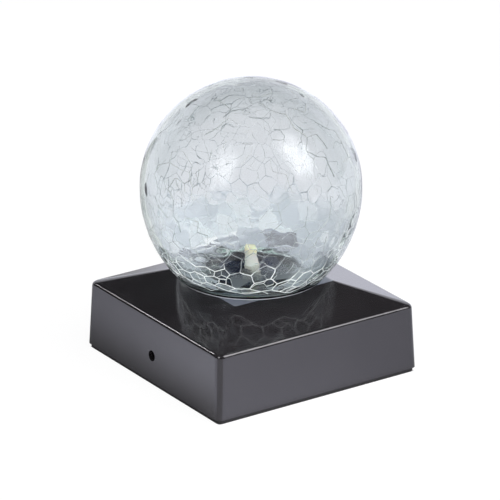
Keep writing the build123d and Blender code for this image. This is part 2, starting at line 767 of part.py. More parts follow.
def panel_leads():
    """Two leads from the panel's underside to the board."""
    leads = []
    for side in (-1, 1):
        x = side * panel_lead_x
        y = board_edge_y - 2 * LEAD_BEND
        leads.append(lead([
            (x, panel_lead_y, panel_seat),
            (x, panel_lead_y, tray_under),
            (x + side * LEAD_BEND, y, tray_under - LEAD_BEND),
            (x + side * LEAD_BEND, y, board_top),
        ]))
    return Compound(leads)


def led_leads():
    """Two leads from the LED's legs to the board."""
    leads = []
    for side in (-1, 1):
        x = side * LEG_PITCH / 2
        y = board_edge_y - 2 * LEAD_BEND
        leads.append(lead([
            (x, 0, leg_end),
            (x, 0, tray_under - LEAD_BEND / 2),
            (x + side * LEAD_BEND, y, tray_under - LEAD_BEND),
            (x + side * LEAD_BEND, y, board_top),
        ]))
    return Compound(leads)


def battery_leads():
    """Two leads from the contacts' solder tabs to the board."""
    leads = []
    z = battery_z + TAB_SOLDER_WIDTH / 2
    y = cradle_near_y - TAB_SOLDER_REACH
    for tab_x, side in ((plate_tab_x, 1), (leaf_tab_x, -1)):
        x = sum(tab_x) / 2
        end_x = side * (BOARD_WIDTH / 2 - LEAD_BEND)
        end_y = board_edge_y - LEAD_BEND
        leads.append(lead([
            (x, y, z),
            (x, y - 2 * LEAD_BEND, z),
            (end_x, end_y, z),
            (end_x, end_y, board_top),
        ]))
    return Compound(leads)


PARTS = (
    cap_shell, foot_frame, glass_globe, globe_collar, neck_sealant, globe_gasket, lamp_tray, tray_screws,
    panel_board, solar_cells, panel_resin, led_spacer, led_lamp, led_legs, circuit_board, board_screws,
    driver_chip, inductor, switch_case, switch_knob, battery_cell, battery_leaf, battery_plate, base_cover,
    cover_screws, battery_door, panel_leads, led_leads, battery_leads,
)

os.makedirs("parts", exist_ok=True)
for make in PARTS:
    export_step(make(), f"parts/{make.__name__}.step")
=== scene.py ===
"""Looks of a solar post light: a crackle-glass globe on a square black cap for a garden post.

Every length is in metres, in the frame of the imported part: +Z up, origin under the middle of the foot.
"""

import logging
import math
from collections.abc import Callable
from dataclasses import dataclass
from enum import Enum
from typing import Any, ClassVar

import bpy
import numpy as np
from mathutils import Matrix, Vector


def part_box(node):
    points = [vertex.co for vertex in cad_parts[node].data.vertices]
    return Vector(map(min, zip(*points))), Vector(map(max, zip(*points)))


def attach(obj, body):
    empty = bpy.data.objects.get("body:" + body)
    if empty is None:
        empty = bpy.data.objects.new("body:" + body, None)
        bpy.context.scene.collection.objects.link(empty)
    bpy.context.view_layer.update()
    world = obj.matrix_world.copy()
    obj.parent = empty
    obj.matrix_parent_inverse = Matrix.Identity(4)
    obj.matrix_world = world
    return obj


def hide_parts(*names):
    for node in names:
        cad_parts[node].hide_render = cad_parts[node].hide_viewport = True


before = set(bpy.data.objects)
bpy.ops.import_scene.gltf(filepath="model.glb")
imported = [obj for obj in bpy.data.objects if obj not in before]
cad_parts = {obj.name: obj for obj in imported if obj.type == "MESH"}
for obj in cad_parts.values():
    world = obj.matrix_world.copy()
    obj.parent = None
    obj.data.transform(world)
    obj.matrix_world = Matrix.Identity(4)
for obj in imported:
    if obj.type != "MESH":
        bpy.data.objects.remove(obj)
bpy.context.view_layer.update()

LOG = logging.getLogger("post_light")
MM = 0.001
IMAGE_WIDTH = 500
SENSOR_WIDTH = 36.0
BLACK = (0.0, 0.0, 0.0)
WHITE = (1.0, 1.0, 1.0)
NOISE_MIDDLE = 0.5
ON_AXIS = 1e-9
CELL_CLOUD = "cell_cloud"
CRACK_STRENGTH = "crack_strength"

Colour = tuple[float, float, float]
Point = tuple[float, float, float]
SectionPoint = tuple[float, float]
Span = tuple[float, float]
Uneven = tuple[float, float, float]


class Body(Enum):
    """Bodies that the made pieces ride on."""

    CAP = "cap"
    GLOBE = "globe"


def math_operator(operation: str, reflected: bool = False) -> Callable[["Sock", Any], "Sock"]:
    """Makes an operator of Sock from one kind of Math node.

    Args:
        operation: what the node does with two values.
        reflected: whether the socket is the second of the two.

    Returns:
        The operator.
    """

    def apply(sock: "Sock", value: Any) -> "Sock":
        """Result of the operation on a socket and another value."""
        return sock.math(operation, value, sock) if reflected else sock.math(operation, sock, value)

    return apply


class Sock:
    """One output socket of a node, with arithmetic that adds Math nodes."""

    def __init__(self, graph: "Graph", socket: bpy.types.NodeSocket) -> None:
        """Keeps the socket and the graph that it belongs to."""
        self.graph = graph
        self.socket = socket

    def math(self, operation: str, first: Any, second: Any = 0.0) -> "Sock":
        """Result of one Math node on two values or sockets."""
        return self.graph.node("ShaderNodeMath", {"operation": operation}, {0: first, 1: second})

    def other(self, name: str) -> "Sock":
        """Another output of the same node."""
        return Sock(self.graph, self.socket.node.outputs[name])

    def __neg__(self) -> "Sock":
        """This value with its sign changed."""
        return self.math("MULTIPLY", self, -1.0)

    __add__ = math_operator("ADD")
    __radd__ = math_operator("ADD", reflected=True)
    __sub__ = math_operator("SUBTRACT")
    __rsub__ = math_operator("SUBTRACT", reflected=True)
    __mul__ = math_operator("MULTIPLY")
    __rmul__ = math_operator("MULTIPLY", reflected=True)
    __truediv__ = math_operator("DIVIDE")
    __rtruediv__ = math_operator("DIVIDE", reflected=True)
    __pow__ = math_operator("POWER")
    __rpow__ = math_operator("POWER", reflected=True)
    __gt__ = math_operator("GREATER_THAN")
    __lt__ = math_operator("LESS_THAN")
    at_most = math_operator("MINIMUM")
    at_least = math_operator("MAXIMUM")


class Graph:
    """A node tree that is filled by one method, for materials, lights, the world and Geometry Nodes."""

    def __init__(self, tree: bpy.types.NodeTree) -> None:
        """Takes an empty tree."""
        self.tree = tree

    def node(
        self, kind: str, settings: dict | None = None, inputs: dict | None = None, output: int | str = 0
    ) -> Sock:
        """Adds one node.

        Args:
            kind: the node's type.
            settings: its properties, or the stops of a ramp, which are set first.
            inputs: values or links of its sockets, by name or number.
            output: name or number of the output that is wanted.

        Returns:
            That output.
        """
        made = self.tree.nodes.new(kind)
        for name, value in (settings or {}).items():
            if name == "stops":
                self.set_stops(made.color_ramp, value)
            else:
                setattr(made, name, value)
        for key, value in (inputs or {}).items():
            self.feed(made.inputs[key], value)
        return Sock(self, made.outputs[output] if made.outputs else None)

    def feed(self, socket: bpy.types.NodeSocket, value: Any) -> None:
        """Links or sets one input socket.

        Args:
            socket: the input socket.
            value: a socket to link, or a value. A colour may leave out its alpha.
        """
        if isinstance(value, Sock):
            self.tree.links.new(value.socket, socket)
        elif socket.type == "RGBA" and len(value) == 3:
            socket.default_value = (*value, 1.0)
        else:
            socket.default_value = value

    @staticmethod
    def set_stops(ramp: bpy.types.ColorRamp, stops: tuple[tuple[float, Colour], ...]) -> None:
        """Gives a ramp its stops.

        Args:
            ramp: a ramp that still has its own first stops.
            stops: place and colour of each stop, in order.
        """
        while len(ramp.elements) < len(stops):
            ramp.elements.new(1.0)
        for element, (place, colour) in zip(ramp.elements, stops):
            element.position = place
            element.color = (*colour, 1.0)

    def place(self) -> Sock:
        """Object coordinates, in metres."""
        return self.node("ShaderNodeTexCoord", output="Object")

    def axes(self, vector: Sock) -> tuple[Sock, Sock, Sock]:
        """The three values of a vector."""
        parts = self.node("ShaderNodeSeparateXYZ", inputs={0: vector})
        return parts.other("X"), parts.other("Y"), parts.other("Z")

    def height(self) -> Sock:
        """Height above the underside of the foot."""
        return self.axes(self.place())[2]

    def attribute(self, name: str) -> Sock:
        """A value that the mesh stores at its points."""
        return self.node("ShaderNodeAttribute", {"attribute_name": name}, output="Fac")

    def noise(self, size: float, detail: float = 3.0, stretch: Point = (1.0, 1.0, 1.0)) -> Sock:
        """Noise on Object coordinates.

        Args:
            size: length of one patch of the pattern.
            detail: number of finer layers.
            stretch: how many times finer the pattern is along each axis.

        Returns:
            A value from zero to one.
        """
        spread = self.node("ShaderNodeMapping", inputs={"Vector": self.place(), "Scale": stretch})
        inputs = {"Vector": spread, "Scale": 1.0 / size, "Detail": detail}
        return self.node("ShaderNodeTexNoise", inputs=inputs)

    def uneven(self, least: float, gain: float, patch: float) -> Sock:
        """A value that noise raises in patches of a given size."""
        return least + gain * self.noise(patch)

    def soft_step(self, value: Sock, low: Any, high: Any) -> Sock:
        """Zero below one value, one above another and smooth between them."""
        inputs = {"Value": value, "From Min": low, "From Max": high}
        return self.node("ShaderNodeMapRange", {"interpolation_type": "SMOOTHSTEP"}, inputs)

    def blend(self, share: Any, first: Any, second: Any) -> Sock:
        """Mix of two colours."""
        return self.node("ShaderNodeMix", {"data_type": "RGBA"}, {0: share, 6: first, 7: second}, 2)

    def vector(self, operation: str, first: Any, second: Any = (0.0, 0.0, 0.0)) -> Sock:
        """Vector that Vector Math makes from two vectors."""
        return self.node("ShaderNodeVectorMath", {"operation": operation}, {0: first, 1: second})

    def measure(self, operation: str, first: Any, second: Any = (0.0, 0.0, 0.0)) -> Sock:
        """Value that Vector Math takes from vectors, such as a length or a dot product."""
        return self.vector(operation, first, second).other("Value")

    def scaled(self, vector: Sock, factor: Any) -> Sock:
        """A vector times a value."""
        return self.node("ShaderNodeVectorMath", {"operation": "SCALE"}, {0: vector, "Scale": factor})

    def bump(self, height: Sock, depth: float) -> Sock:
        """Normal of a surface with small relief."""
        return self.node("ShaderNodeBump", inputs={"Height": height, "Distance": depth})

    def light_path(self, name: str) -> Sock:
        """What kind of ray meets the surface, or what it has met before."""
        return self.node("ShaderNodeLightPath", output=name)

    def rays(self) -> tuple[Sock, Sock, Sock]:
        """Tells three kinds of ray apart.

        Returns:
            One for rays from the camera, for rays through glass and for mirror rays, and zero for others.
        """
        camera = self.light_path("Is Camera Ray")
        through = camera.other("Is Transmission Ray")
        return camera, through, camera.other("Is Glossy Ray") * (1.0 - through)

    def principled(self, inputs: dict[str, Any]) -> Sock:
        """A Principled shader."""
        return self.node("ShaderNodeBsdfPrincipled", inputs=inputs)

    def mix(self, share: Sock, first: Sock, second: Sock) -> Sock:
        """Mix of two shaders."""
        return self.node("ShaderNodeMixShader", inputs={0: share, 1: first, 2: second})

    def surface(self, shader: Sock) -> None:
        """Sends a shader to the material's surface."""
        self.node("ShaderNodeOutputMaterial", inputs={"Surface": shader})


@dataclass(frozen=True)
class Finish:
    """Base of every finish: a named material that is made once."""

    name: str

    def material(self) -> bpy.types.Material:
        """Makes the material on first use.

        Returns:
            The material, under a name that no packed material has.
        """
        title = "finish_" + self.name
        found = bpy.data.materials.get(title)
        if found is None:
            found = bpy.data.materials.new(title)
            found.use_nodes = True
            found.node_tree.nodes.clear()
            self.paint(Graph(found.node_tree))
        return found

    def paint(self, graph: Graph) -> None:
        """Fills the material's empty graph."""
        raise NotImplementedError


@dataclass(frozen=True)
class MouldedPlastic(Finish):
    """Moulded plastic with soft shade changes, handling marks and a fine skin.

    A painted reflection, a paler bluish flat on top, starts within the given height span, whose usual values
    lie above every piece.
    """

    dark: Colour = (0.013, 0.012, 0.013)
    pale: Colour = (0.023, 0.021, 0.023)
    roughness: float = 0.35
    marks: float = 0.10
    grain: float = 0.4 * MM
    grain_depth: float = 0.01 * MM
    flow: float = 6 * MM
    flow_depth: float = 0.0
    flow_stretch: Point = (0.3, 0.3, 2.0)
    index: float = 1.5
    patch: float = 18 * MM
    gloss_tint: Colour = WHITE
    # seat: colour of a painted reflection of the pale surroundings on the cap's flat top, not of the plastic
    seat: Colour = (0.16, 0.17, 0.205)
    painted_reflection_span: Span = (1.0, 2.0)
    rub_size: float = 2.5 * MM
    rub_stretch: Point = (1.0, 1.0, 0.12)
    rub_span: Span = (0.58, 0.80)
    cloud_share: float = 0.6

    def paint(self, graph: Graph) -> None:
        """Fills the material's nodes.

        Args:
            graph: the material's empty graph.
        """
        shade = graph.blend(graph.noise(self.patch), self.dark, self.pale)
        # Painted reflection: the flat top takes the seat colour, standing for the light it mirrors.
        painted_reflection_share = graph.soft_step(graph.height(), *self.painted_reflection_span)
        scuffs = graph.noise(self.rub_size, detail=5.0, stretch=self.rub_stretch)
        rubs = graph.soft_step(scuffs, *self.rub_span)
        cloud = graph.noise(self.patch * self.cloud_share, detail=4.0)
        skin = self.grain_depth * graph.noise(self.grain, detail=2.0)
        relief = skin + self.flow_depth * graph.noise(self.flow, detail=4.0, stretch=self.flow_stretch)
        graph.surface(graph.principled({
            "Base Color": graph.blend(painted_reflection_share, shade, self.seat),
            "Roughness": self.roughness + self.marks * (0.5 * rubs + 0.5 * cloud),
            "IOR": self.index,
            "Specular Tint": self.gloss_tint,
            "Normal": graph.bump(relief, 1.0),
        }))


@dataclass(frozen=True)
class BlownGlass(Finish):
    """Clear glass: greyer on edge, with painted shade along its rim and towards the base, cloudy on some
    cells near the base, frosted where it is ground, with painted light given off at that edge.
    """

    outer_tint: Colour = (0.98, 0.985, 0.99)
    # Painted shade: the outer wall greys towards glancing angles.
    painted_edge_shade: Colour = (0.58, 0.58, 0.61)
    edge_span: Span = (0.45, 0.78)
    inner_tint: Colour = (0.795, 0.785, 0.84)
    # Painted shade: the inner wall greys towards glancing angles.
    painted_rim_shade: Colour = (0.63, 0.64, 0.69)
    # Painted shade: the inner wall darkens towards the base.
    rim_span: Span = (0.20, 0.50)
    painted_low_shade: Colour = (0.64, 0.69, 0.72)
    gloss: Colour = (0.62, 0.62, 0.64)
    # Painted shade towards the base: reflections there are dimmed.
    low_gloss: Colour = (0.30, 0.34, 0.36)
    index: float = 1.5
    low_index: float = 1.38
    high_span: Span = (54 * MM, 66 * MM)
    roughness: Uneven = (0.004, 0.008, 6 * MM)
    ripple: float = 9 * MM
    ripple_depth: float = 0.05 * MM
    film: Colour = (0.74, 0.77, 0.82)
    film_roughness: float = 0.5
    near_share: float = 0.40
    near_power: float = 3.0
    far_share: float = 0.75
    far_span: Span = (-0.10, 0.70)
    film_span: Span = (56 * MM, 72 * MM)
    below_one: float = 0.5
    above_one: float = 1.5
    frost: Colour = (0.80, 0.80, 0.86)
    # Painted light given off by the ground edge, which is no lamp.
    painted_edge_glow: Colour = (0.42, 0.43, 0.50)
    frost_patch: float = 1.5 * MM
    frost_roughness: float = 0.6
    painted_glow_strength: float = 0.85
    frost_share: float = 0.90
    depth_tint: Colour = (0.62, 0.90, 0.80)
    depth_density: float = 34.0
    shadow_tint: Colour = (0.97, 0.98, 0.98)

    def clear_glass(self, graph: Graph, inside: Sock) -> Sock:
        """Glass without film or frost.

        Args:
            graph: the material's graph.
            inside: one on the inner wall, and zero on the outer one.

        Returns:
            The shader, duller towards the base and greyer along the rim, both painted shade.
        """
        facing = graph.node("ShaderNodeLayerWeight", output="Facing")
        # Painted shade along the rim and towards the base, carried in the glass's colour and its reflection.
        rim = graph.soft_step(facing, *self.rim_span)
        edge = graph.soft_step(facing, *self.edge_span)
        high = graph.soft_step(graph.height(), *self.high_span)
        inner = graph.blend(rim, graph.blend(high, self.painted_low_shade, self.inner_tint), self.painted_rim_shade)
        outer = graph.blend(edge, self.outer_tint, self.painted_edge_shade)
        inputs = {
            "Base Color": graph.blend(inside, outer, inner),
            "Roughness": graph.uneven(*self.roughness),
            "IOR": self.index,
            "Transmission Weight": 1.0,
            "Specular Tint": self.gloss,
            "Normal": graph.bump(graph.noise(self.ripple, detail=1.0), self.ripple_depth),
        }
        low = {"IOR": self.low_index, "Specular Tint": self.low_gloss}
        return graph.mix(high, graph.principled({**inputs, **low}), graph.principled(inputs))

    def ground_glass(self, graph: Graph) -> Sock:
        """The ground edge of the base, which scatters light and gives off painted light of its own, standing
        for light carried through the glass to that edge.

        Args:
            graph: the material's graph.

        Returns:
            The shader.
        """
        glow = graph.blend(graph.noise(self.frost_patch), self.painted_edge_glow, self.frost)
        return graph.principled({
            "Base Color": self.frost,
            "Roughness": self.frost_roughness,
            "Emission Color": glow,
            "Emission Strength": self.painted_glow_strength,
        })

    def paint(self, graph: Graph) -> None:
        """Fills the material's nodes.

        Args:
            graph: the material's empty graph.
        """
        marks = ("inside", "lining", "ground", CELL_CLOUD)
        inside, lining, ground, cell = [graph.attribute(name) for name in marks]
        walls = graph.light_path("Transmission Depth")
        direct = walls.other("Glossy Depth") < self.below_one
        near = self.near_share * inside * cell**self.near_power
        patchy = graph.soft_step(cell, *self.far_span)
        far = self.far_share * lining * (walls > self.above_one) * direct * patchy
        cloud = near.at_least(far) * (1.0 - graph.soft_step(graph.height(), *self.film_span))
        film = graph.principled({"Base Color": self.film, "Roughness": self.film_roughness})
        glass = graph.mix(cloud, self.clear_glass(graph, inside), film)
        frosted = self.frost_share * ground * (walls < self.below_one) * direct
        glass = graph.mix(frosted, glass, self.ground_glass(graph))
        clear = graph.node("ShaderNodeBsdfTransparent", inputs={"Color": self.shadow_tint})
        depth = {"Color": self.depth_tint, "Density": self.depth_density}
        graph.node("ShaderNodeOutputMaterial", inputs={
            "Surface": graph.mix(graph.light_path("Is Shadow Ray"), glass, clear),
            "Volume": graph.node("ShaderNodeVolumeAbsorption", inputs=depth),
        })


@dataclass(frozen=True)
class CrackFace(Finish):
    """Broken face inside the glass: painted near-white with painted light given off near the base, standing
    for the bright reflections its faces catch there; a patchy film of its own strength on the ball.
    """

    # low: near-white painted onto the cracks near the base, standing for the bright reflections they catch
    # there
    low: Colour = (0.99, 0.99, 0.985)
    dark: Colour = (0.62, 0.65, 0.68)
    high: Colour = (0.86, 0.89, 0.92)
    # Painted light: near the base the cracks give off light of their own, though they are no lamp.
    glow: Colour = (0.30, 0.31, 0.31)
    faint: float = 0.10
    strong: float = 0.97
    metallic: float = 0.25
    roughness: Uneven = (0.12, 0.25, 1.5 * MM)
    rise_span: Span = (65 * MM, 71 * MM)
    turn_spread: float = 9 * MM
    turn_drift: float = 0.5
    turn_patch: float = 5 * MM
    ball_share: float = 0.40
    ball_gain: float = 0.40
    patch: float = 2.2 * MM
    patch_span: Span = (0.30, 0.70)
    patch_share: float = 0.50

    def paint(self, graph: Graph) -> None:
        """Fills the material's nodes.

        Args:
            graph: the material's empty graph.
        """
        strength = graph.attribute(CRACK_STRENGTH)
        patch = graph.soft_step(graph.noise(self.patch, detail=2.0), *self.patch_span)
        turn = self.turn_spread * (strength + self.turn_drift * graph.noise(self.turn_patch))
        rise = graph.soft_step(graph.height() + turn, *self.rise_span)
        worn = self.patch_share + (1.0 - self.patch_share) * patch
        full = ((self.ball_share + self.ball_gain * strength) * worn).at_least(1.0 - rise)
        graph.surface(graph.principled({
            # Near the base the colour turns painted near-white and the emission painted light; both fade out
            # up the ball.
            "Base Color": graph.blend(rise, self.low, graph.blend(strength, self.dark, self.high)),
            "Roughness": graph.uneven(*self.roughness),
            "Metallic": self.metallic,
            "Alpha": self.faint + (self.strong - self.faint) * full,
            "Emission Color": graph.blend(rise, self.glow, BLACK),
            "Emission Strength": 1.0,
        }))


@dataclass(frozen=True)
class ClearResin(Finish):
    """Clear cast cover or clear silicone, slightly hazy."""

    tint: Colour = (0.97, 0.98, 0.99)
    roughness: Uneven = (0.05, 0.05, 3 * MM)
    index: float = 1.48
    clearness: float = 0.85
    ripple: float = 5 * MM
    ripple_depth: float = 0.03 * MM

    def paint(self, graph: Graph) -> None:
        """Fills the material's nodes.

        Args:
            graph: the material's empty graph.
        """
        resin = graph.principled({
            "Base Color": self.tint,
            "Roughness": graph.uneven(*self.roughness),
            "IOR": self.index,
            "Transmission Weight": 1.0,
            "Normal": graph.bump(graph.noise(self.ripple, detail=1.0), self.ripple_depth),
        })
        clear = graph.node("ShaderNodeBsdfTransparent", inputs={"Color": self.tint})
        straight = graph.light_path("Is Shadow Ray").at_least(self.clearness)
        graph.surface(graph.mix(straight, resin, clear))


@dataclass(frozen=True)
class SolarFace(Finish):
    """Blue-black cell with fine silver fingers and wider bars across them."""

    cell: Colour = (0.010, 0.016, 0.045)
    sheen: Colour = (0.018, 0.026, 0.060)
    silver: Colour = (0.30, 0.31, 0.33)
    sheen_patch: float = 4 * MM
    finger_pitch: float = 1.3 * MM
    finger_share: float = 0.05
    bar_pitch: float = 9.0 * MM
    bar_share: float = 0.05
    line_metallic: float = 0.8
    roughness: float = 0.22
    line_roughness: float = 0.15
    index: float = 1.25

    def paint(self, graph: Graph) -> None:
        """Fills the material's nodes.

        Args:
            graph: the material's empty graph.
        """
        x, y, _ = graph.axes(graph.place())
        fingers = self.stripes(x, self.finger_pitch, self.finger_share)
        lines = fingers.at_least(self.stripes(y, self.bar_pitch, self.bar_share))
        silicon = graph.blend(graph.noise(self.sheen_patch, detail=4.0), self.cell, self.sheen)
        graph.surface(graph.principled({
            "Base Color": graph.blend(lines, silicon, self.silver),
            "Metallic": self.line_metallic * lines,
            "Roughness": self.roughness + self.line_roughness * lines,
            "IOR": self.index,
        }))

    @staticmethod
    def stripes(value: Sock, pitch: float, share: float) -> Sock:
        """One on evenly spaced stripes that take a share of their pitch, and zero between them."""
        return value.math("FRACT", value / pitch + share / 2) < share


@dataclass(frozen=True)
class Epoxy(Finish):
    """Cream LED body that turns yellow towards its tip."""

    body: Colour = (0.97, 0.96, 0.86)
    tip: Colour = (0.96, 0.92, 0.62)
    tip_span: Span = (51 * MM, 55 * MM)
    tip_drift: float = 2 * MM
    tip_patch: float = 2 * MM
    roughness: Uneven = (0.18, 0.12, 1.5 * MM)
    milkiness: float = 0.25
    milk_depth: float = 1.5 * MM

    def paint(self, graph: Graph) -> None:
        """Fills the material's nodes.

        Args:
            graph: the material's empty graph.
        """
        height = graph.height() + self.tip_drift * graph.noise(self.tip_patch)
        share = graph.soft_step(height, *self.tip_span)
        graph.surface(graph.principled({
            "Base Color": graph.blend(share, self.body, self.tip),
            "Roughness": graph.uneven(*self.roughness),
            "Subsurface Weight": self.milkiness,
            "Subsurface Scale": self.milk_depth,
        }))


@dataclass(frozen=True)
class DrawnMetal(Finish):
    """Plated or bare metal with fine drawn lines and dull patches."""

    colour: Colour = (0.62, 0.62, 0.63)
    dull: Colour = (0.42, 0.42, 0.43)
    roughness: float = 0.28
    line_size: float = 0.6 * MM
    line_stretch: Point = (1.0, 8.0, 8.0)
    line_roughness: float = 0.18
    line_depth: float = 0.004 * MM
    patch: float = 2.0 * MM
    patch_span: Span = (0.45, 0.75)
    patch_roughness: float = 0.12
    patch_loss: float = 0.15

    def paint(self, graph: Graph) -> None:
        """Fills the material's nodes.

        Args:
            graph: the material's empty graph.
        """
        lines = graph.noise(self.line_size, stretch=self.line_stretch)
        patches = graph.soft_step(graph.noise(self.patch, detail=4.0), *self.patch_span)
        graph.surface(graph.principled({
            "Base Color": graph.blend(patches, self.colour, self.dull),
            "Metallic": 1.0 - self.patch_loss * patches,
            "Roughness": self.roughness + self.line_roughness * lines + self.patch_roughness * patches,
            "Normal": graph.bump(lines, self.line_depth),
        }))


@dataclass(frozen=True)
class BoardMask(Finish):
    """Green solder mask over copper tracks, with bare tinned pads."""

    mask: Colour = (0.010, 0.080, 0.030)
    track: Colour = (0.022, 0.150, 0.060)
    pad: Colour = (0.62, 0.60, 0.55)
    cell: float = 3.2 * MM
    cell_spread: float = 0.55
    track_span: Span = (0.62, 0.68)
    pad_span: Span = (0.14, 0.18)
    pad_metallic: float = 0.9
    roughness: Uneven = (0.30, 0.10, 2 * MM)
    relief: float = 0.03 * MM

    def paint(self, graph: Graph) -> None:
        """Fills the material's nodes.

        Args:
            graph: the material's empty graph.
        """
        spread = {"Vector": graph.place(), "Scale": 1.0 / self.cell, "Randomness": self.cell_spread}
        away = graph.node("ShaderNodeTexVoronoi", {"distance": "MANHATTAN"}, spread, "Distance")
        tracks = graph.soft_step(away, *self.track_span)
        pads = 1.0 - graph.soft_step(away, *self.pad_span)
        green = graph.blend(tracks, self.mask, self.track)
        graph.surface(graph.principled({
            "Base Color": graph.blend(pads, green, self.pad),
            "Metallic": self.pad_metallic * pads,
            "Roughness": graph.uneven(*self.roughness),
            "Normal": graph.bump(tracks + pads, self.relief),
        }))


@dataclass(frozen=True)
class CellWrap(Finish):
    """Shrink sleeve of a rechargeable cell, with bare metal at both ends."""

    sleeve: Colour = (0.030, 0.120, 0.060)
    band: Colour = (0.62, 0.62, 0.60)
    metal: Colour = (0.66, 0.66, 0.66)
    sleeve_start: float = -19.0 * MM
    sleeve_end: float = 23.4 * MM
    band_start: float = 17.0 * MM
    wrinkle: float = 1.8 * MM
    wrinkle_stretch: Point = (0.4, 1.0, 1.0)
    wrinkle_depth: float = 0.03 * MM
    roughness: float = 0.22
    roughness_gain: float = 0.14

    def paint(self, graph: Graph) -> None:
        """Fills the material's nodes.

        Args:
            graph: the material's empty graph.
        """
        along, _, _ = graph.axes(graph.place())
        bare = (along < self.sleeve_start).at_least(along > self.sleeve_end)
        coloured = graph.blend(along > self.band_start, self.sleeve, self.band)
        wrinkle = graph.noise(self.wrinkle, stretch=self.wrinkle_stretch)
        graph.surface(graph.principled({
            "Base Color": graph.blend(bare, coloured, self.metal),
            "Metallic": bare,
            "Roughness": self.roughness + self.roughness_gain * wrinkle,
            "Normal": graph.bump(wrinkle, self.wrinkle_depth),
        }))


@dataclass(frozen=True)
class LeadSleeve(Finish):
    """Insulation of a pair of leads: one colour on each side of the middle."""

    right: Colour = (0.42, 0.020, 0.018)
    left: Colour = (0.016, 0.016, 0.018)
    roughness: float = 0.38
    roughness_gain: float = 0.15
    patch: float = 1.2 * MM
    relief: float = 0.01 * MM

    def paint(self, graph: Graph) -> None:
        """Fills the material's nodes.

        Args:
            graph: the material's empty graph.
        """
        across, _, _ = graph.axes(graph.place())
        soft = graph.noise(self.patch)
        graph.surface(graph.principled({
            "Base Color": graph.blend(across > 0.0, self.left, self.right),
            "Roughness": self.roughness + self.roughness_gain * soft,
            "Normal": graph.bump(soft, self.relief),
        }))


@dataclass(frozen=True)
class StudioFloor(Finish):
    """Pale floor that shows as white and keeps a soft shadow; in the cap's sides it mirrors a painted pool
    of light, brighter in front and far off, dimmer behind, with painted shade close beside the skirt and
    before its front corner.
    """

    colour: Colour = (0.88, 0.88, 0.89)
    white_share: float = 0.90
    white: float = 1.05
    # Painted light and shade that only the cap's mirroring shows:
    painted_far_light: Colour = (1.20, 1.22, 1.38)
    painted_dim_light: Colour = (0.66, 0.67, 0.76)
    painted_mirrored_shade: Colour = (0.50, 0.50, 0.51)
    front: Point = (-0.7071, -0.7071, 0.0)
    aim_span: Span = (-0.5, 0.9)
    mirror_share: float = 0.95
    side_span: Span = (52 * MM, 95 * MM)
    front_span: Span = (50 * MM, 66 * MM)
    # Painted shade: a darker strip mirrored before the front corner.
    corner_span: Span = (50 * MM, 57 * MM)
    painted_corner_shade_share: float = 0.75
    pool_span: Span = (220 * MM, 450 * MM)
    foot_half: float = 53.0 * MM

    def mirrored_share(self, graph: Graph, x: Sock, y: Sock) -> Sock:
        """Share of the floor's painted light that the cap mirrors.

        Args:
            graph: the material's graph.
            x: place across the floor.
            y: place along the floor.

        Returns:
            The share, less close beside the skirt and before its front corner, where painted shade takes its
            place.
        """
        aside = graph.soft_step(x.math("ABSOLUTE", x), *self.side_span)
        ahead = graph.soft_step(-y, *self.front_span)
        corner = graph.soft_step((-x).at_most(-y), *self.corner_span)
        return self.mirror_share * aside.at_least(ahead) * (1.0 - self.painted_corner_shade_share * corner)

    def paint(self, graph: Graph) -> None:
        """Fills the material's nodes.

        Args:
            graph: the material's empty graph.
        """
        camera, through, mirror = graph.rays()
        place = graph.place()
        x, y, _ = graph.axes(place)
        # Painted pool of light for mirror rays: brighter towards the front and far off, dimmer behind the
        # cap.
        away = graph.soft_step(graph.measure("LENGTH", place), *self.pool_span)
        aim = graph.measure("DOT_PRODUCT", graph.vector("NORMALIZE", place), self.front)
        bright = graph.soft_step(aim, *self.aim_span).at_least(away)
        pool = graph.blend(bright, self.painted_dim_light, self.painted_far_light)
        outside = x.math("ABSOLUTE", x).at_least(y.math("ABSOLUTE", y)) > self.foot_half
        shown = self.white_share * camera.at_least(through)
        share = outside * shown.at_least(self.mirrored_share(graph, x, y) * mirror)
        # Mirror rays see a darker floor colour, a painted shade in the cap's sides.
        ground = graph.blend(mirror, self.colour, self.painted_mirrored_shade)
        lit = graph.node("ShaderNodeBsdfDiffuse", inputs={"Color": ground})
        tone = {"Color": graph.blend(mirror, WHITE, pool), "Strength": self.white}
        graph.surface(graph.mix(share, lit, graph.node("ShaderNodeEmission", inputs=tone)))


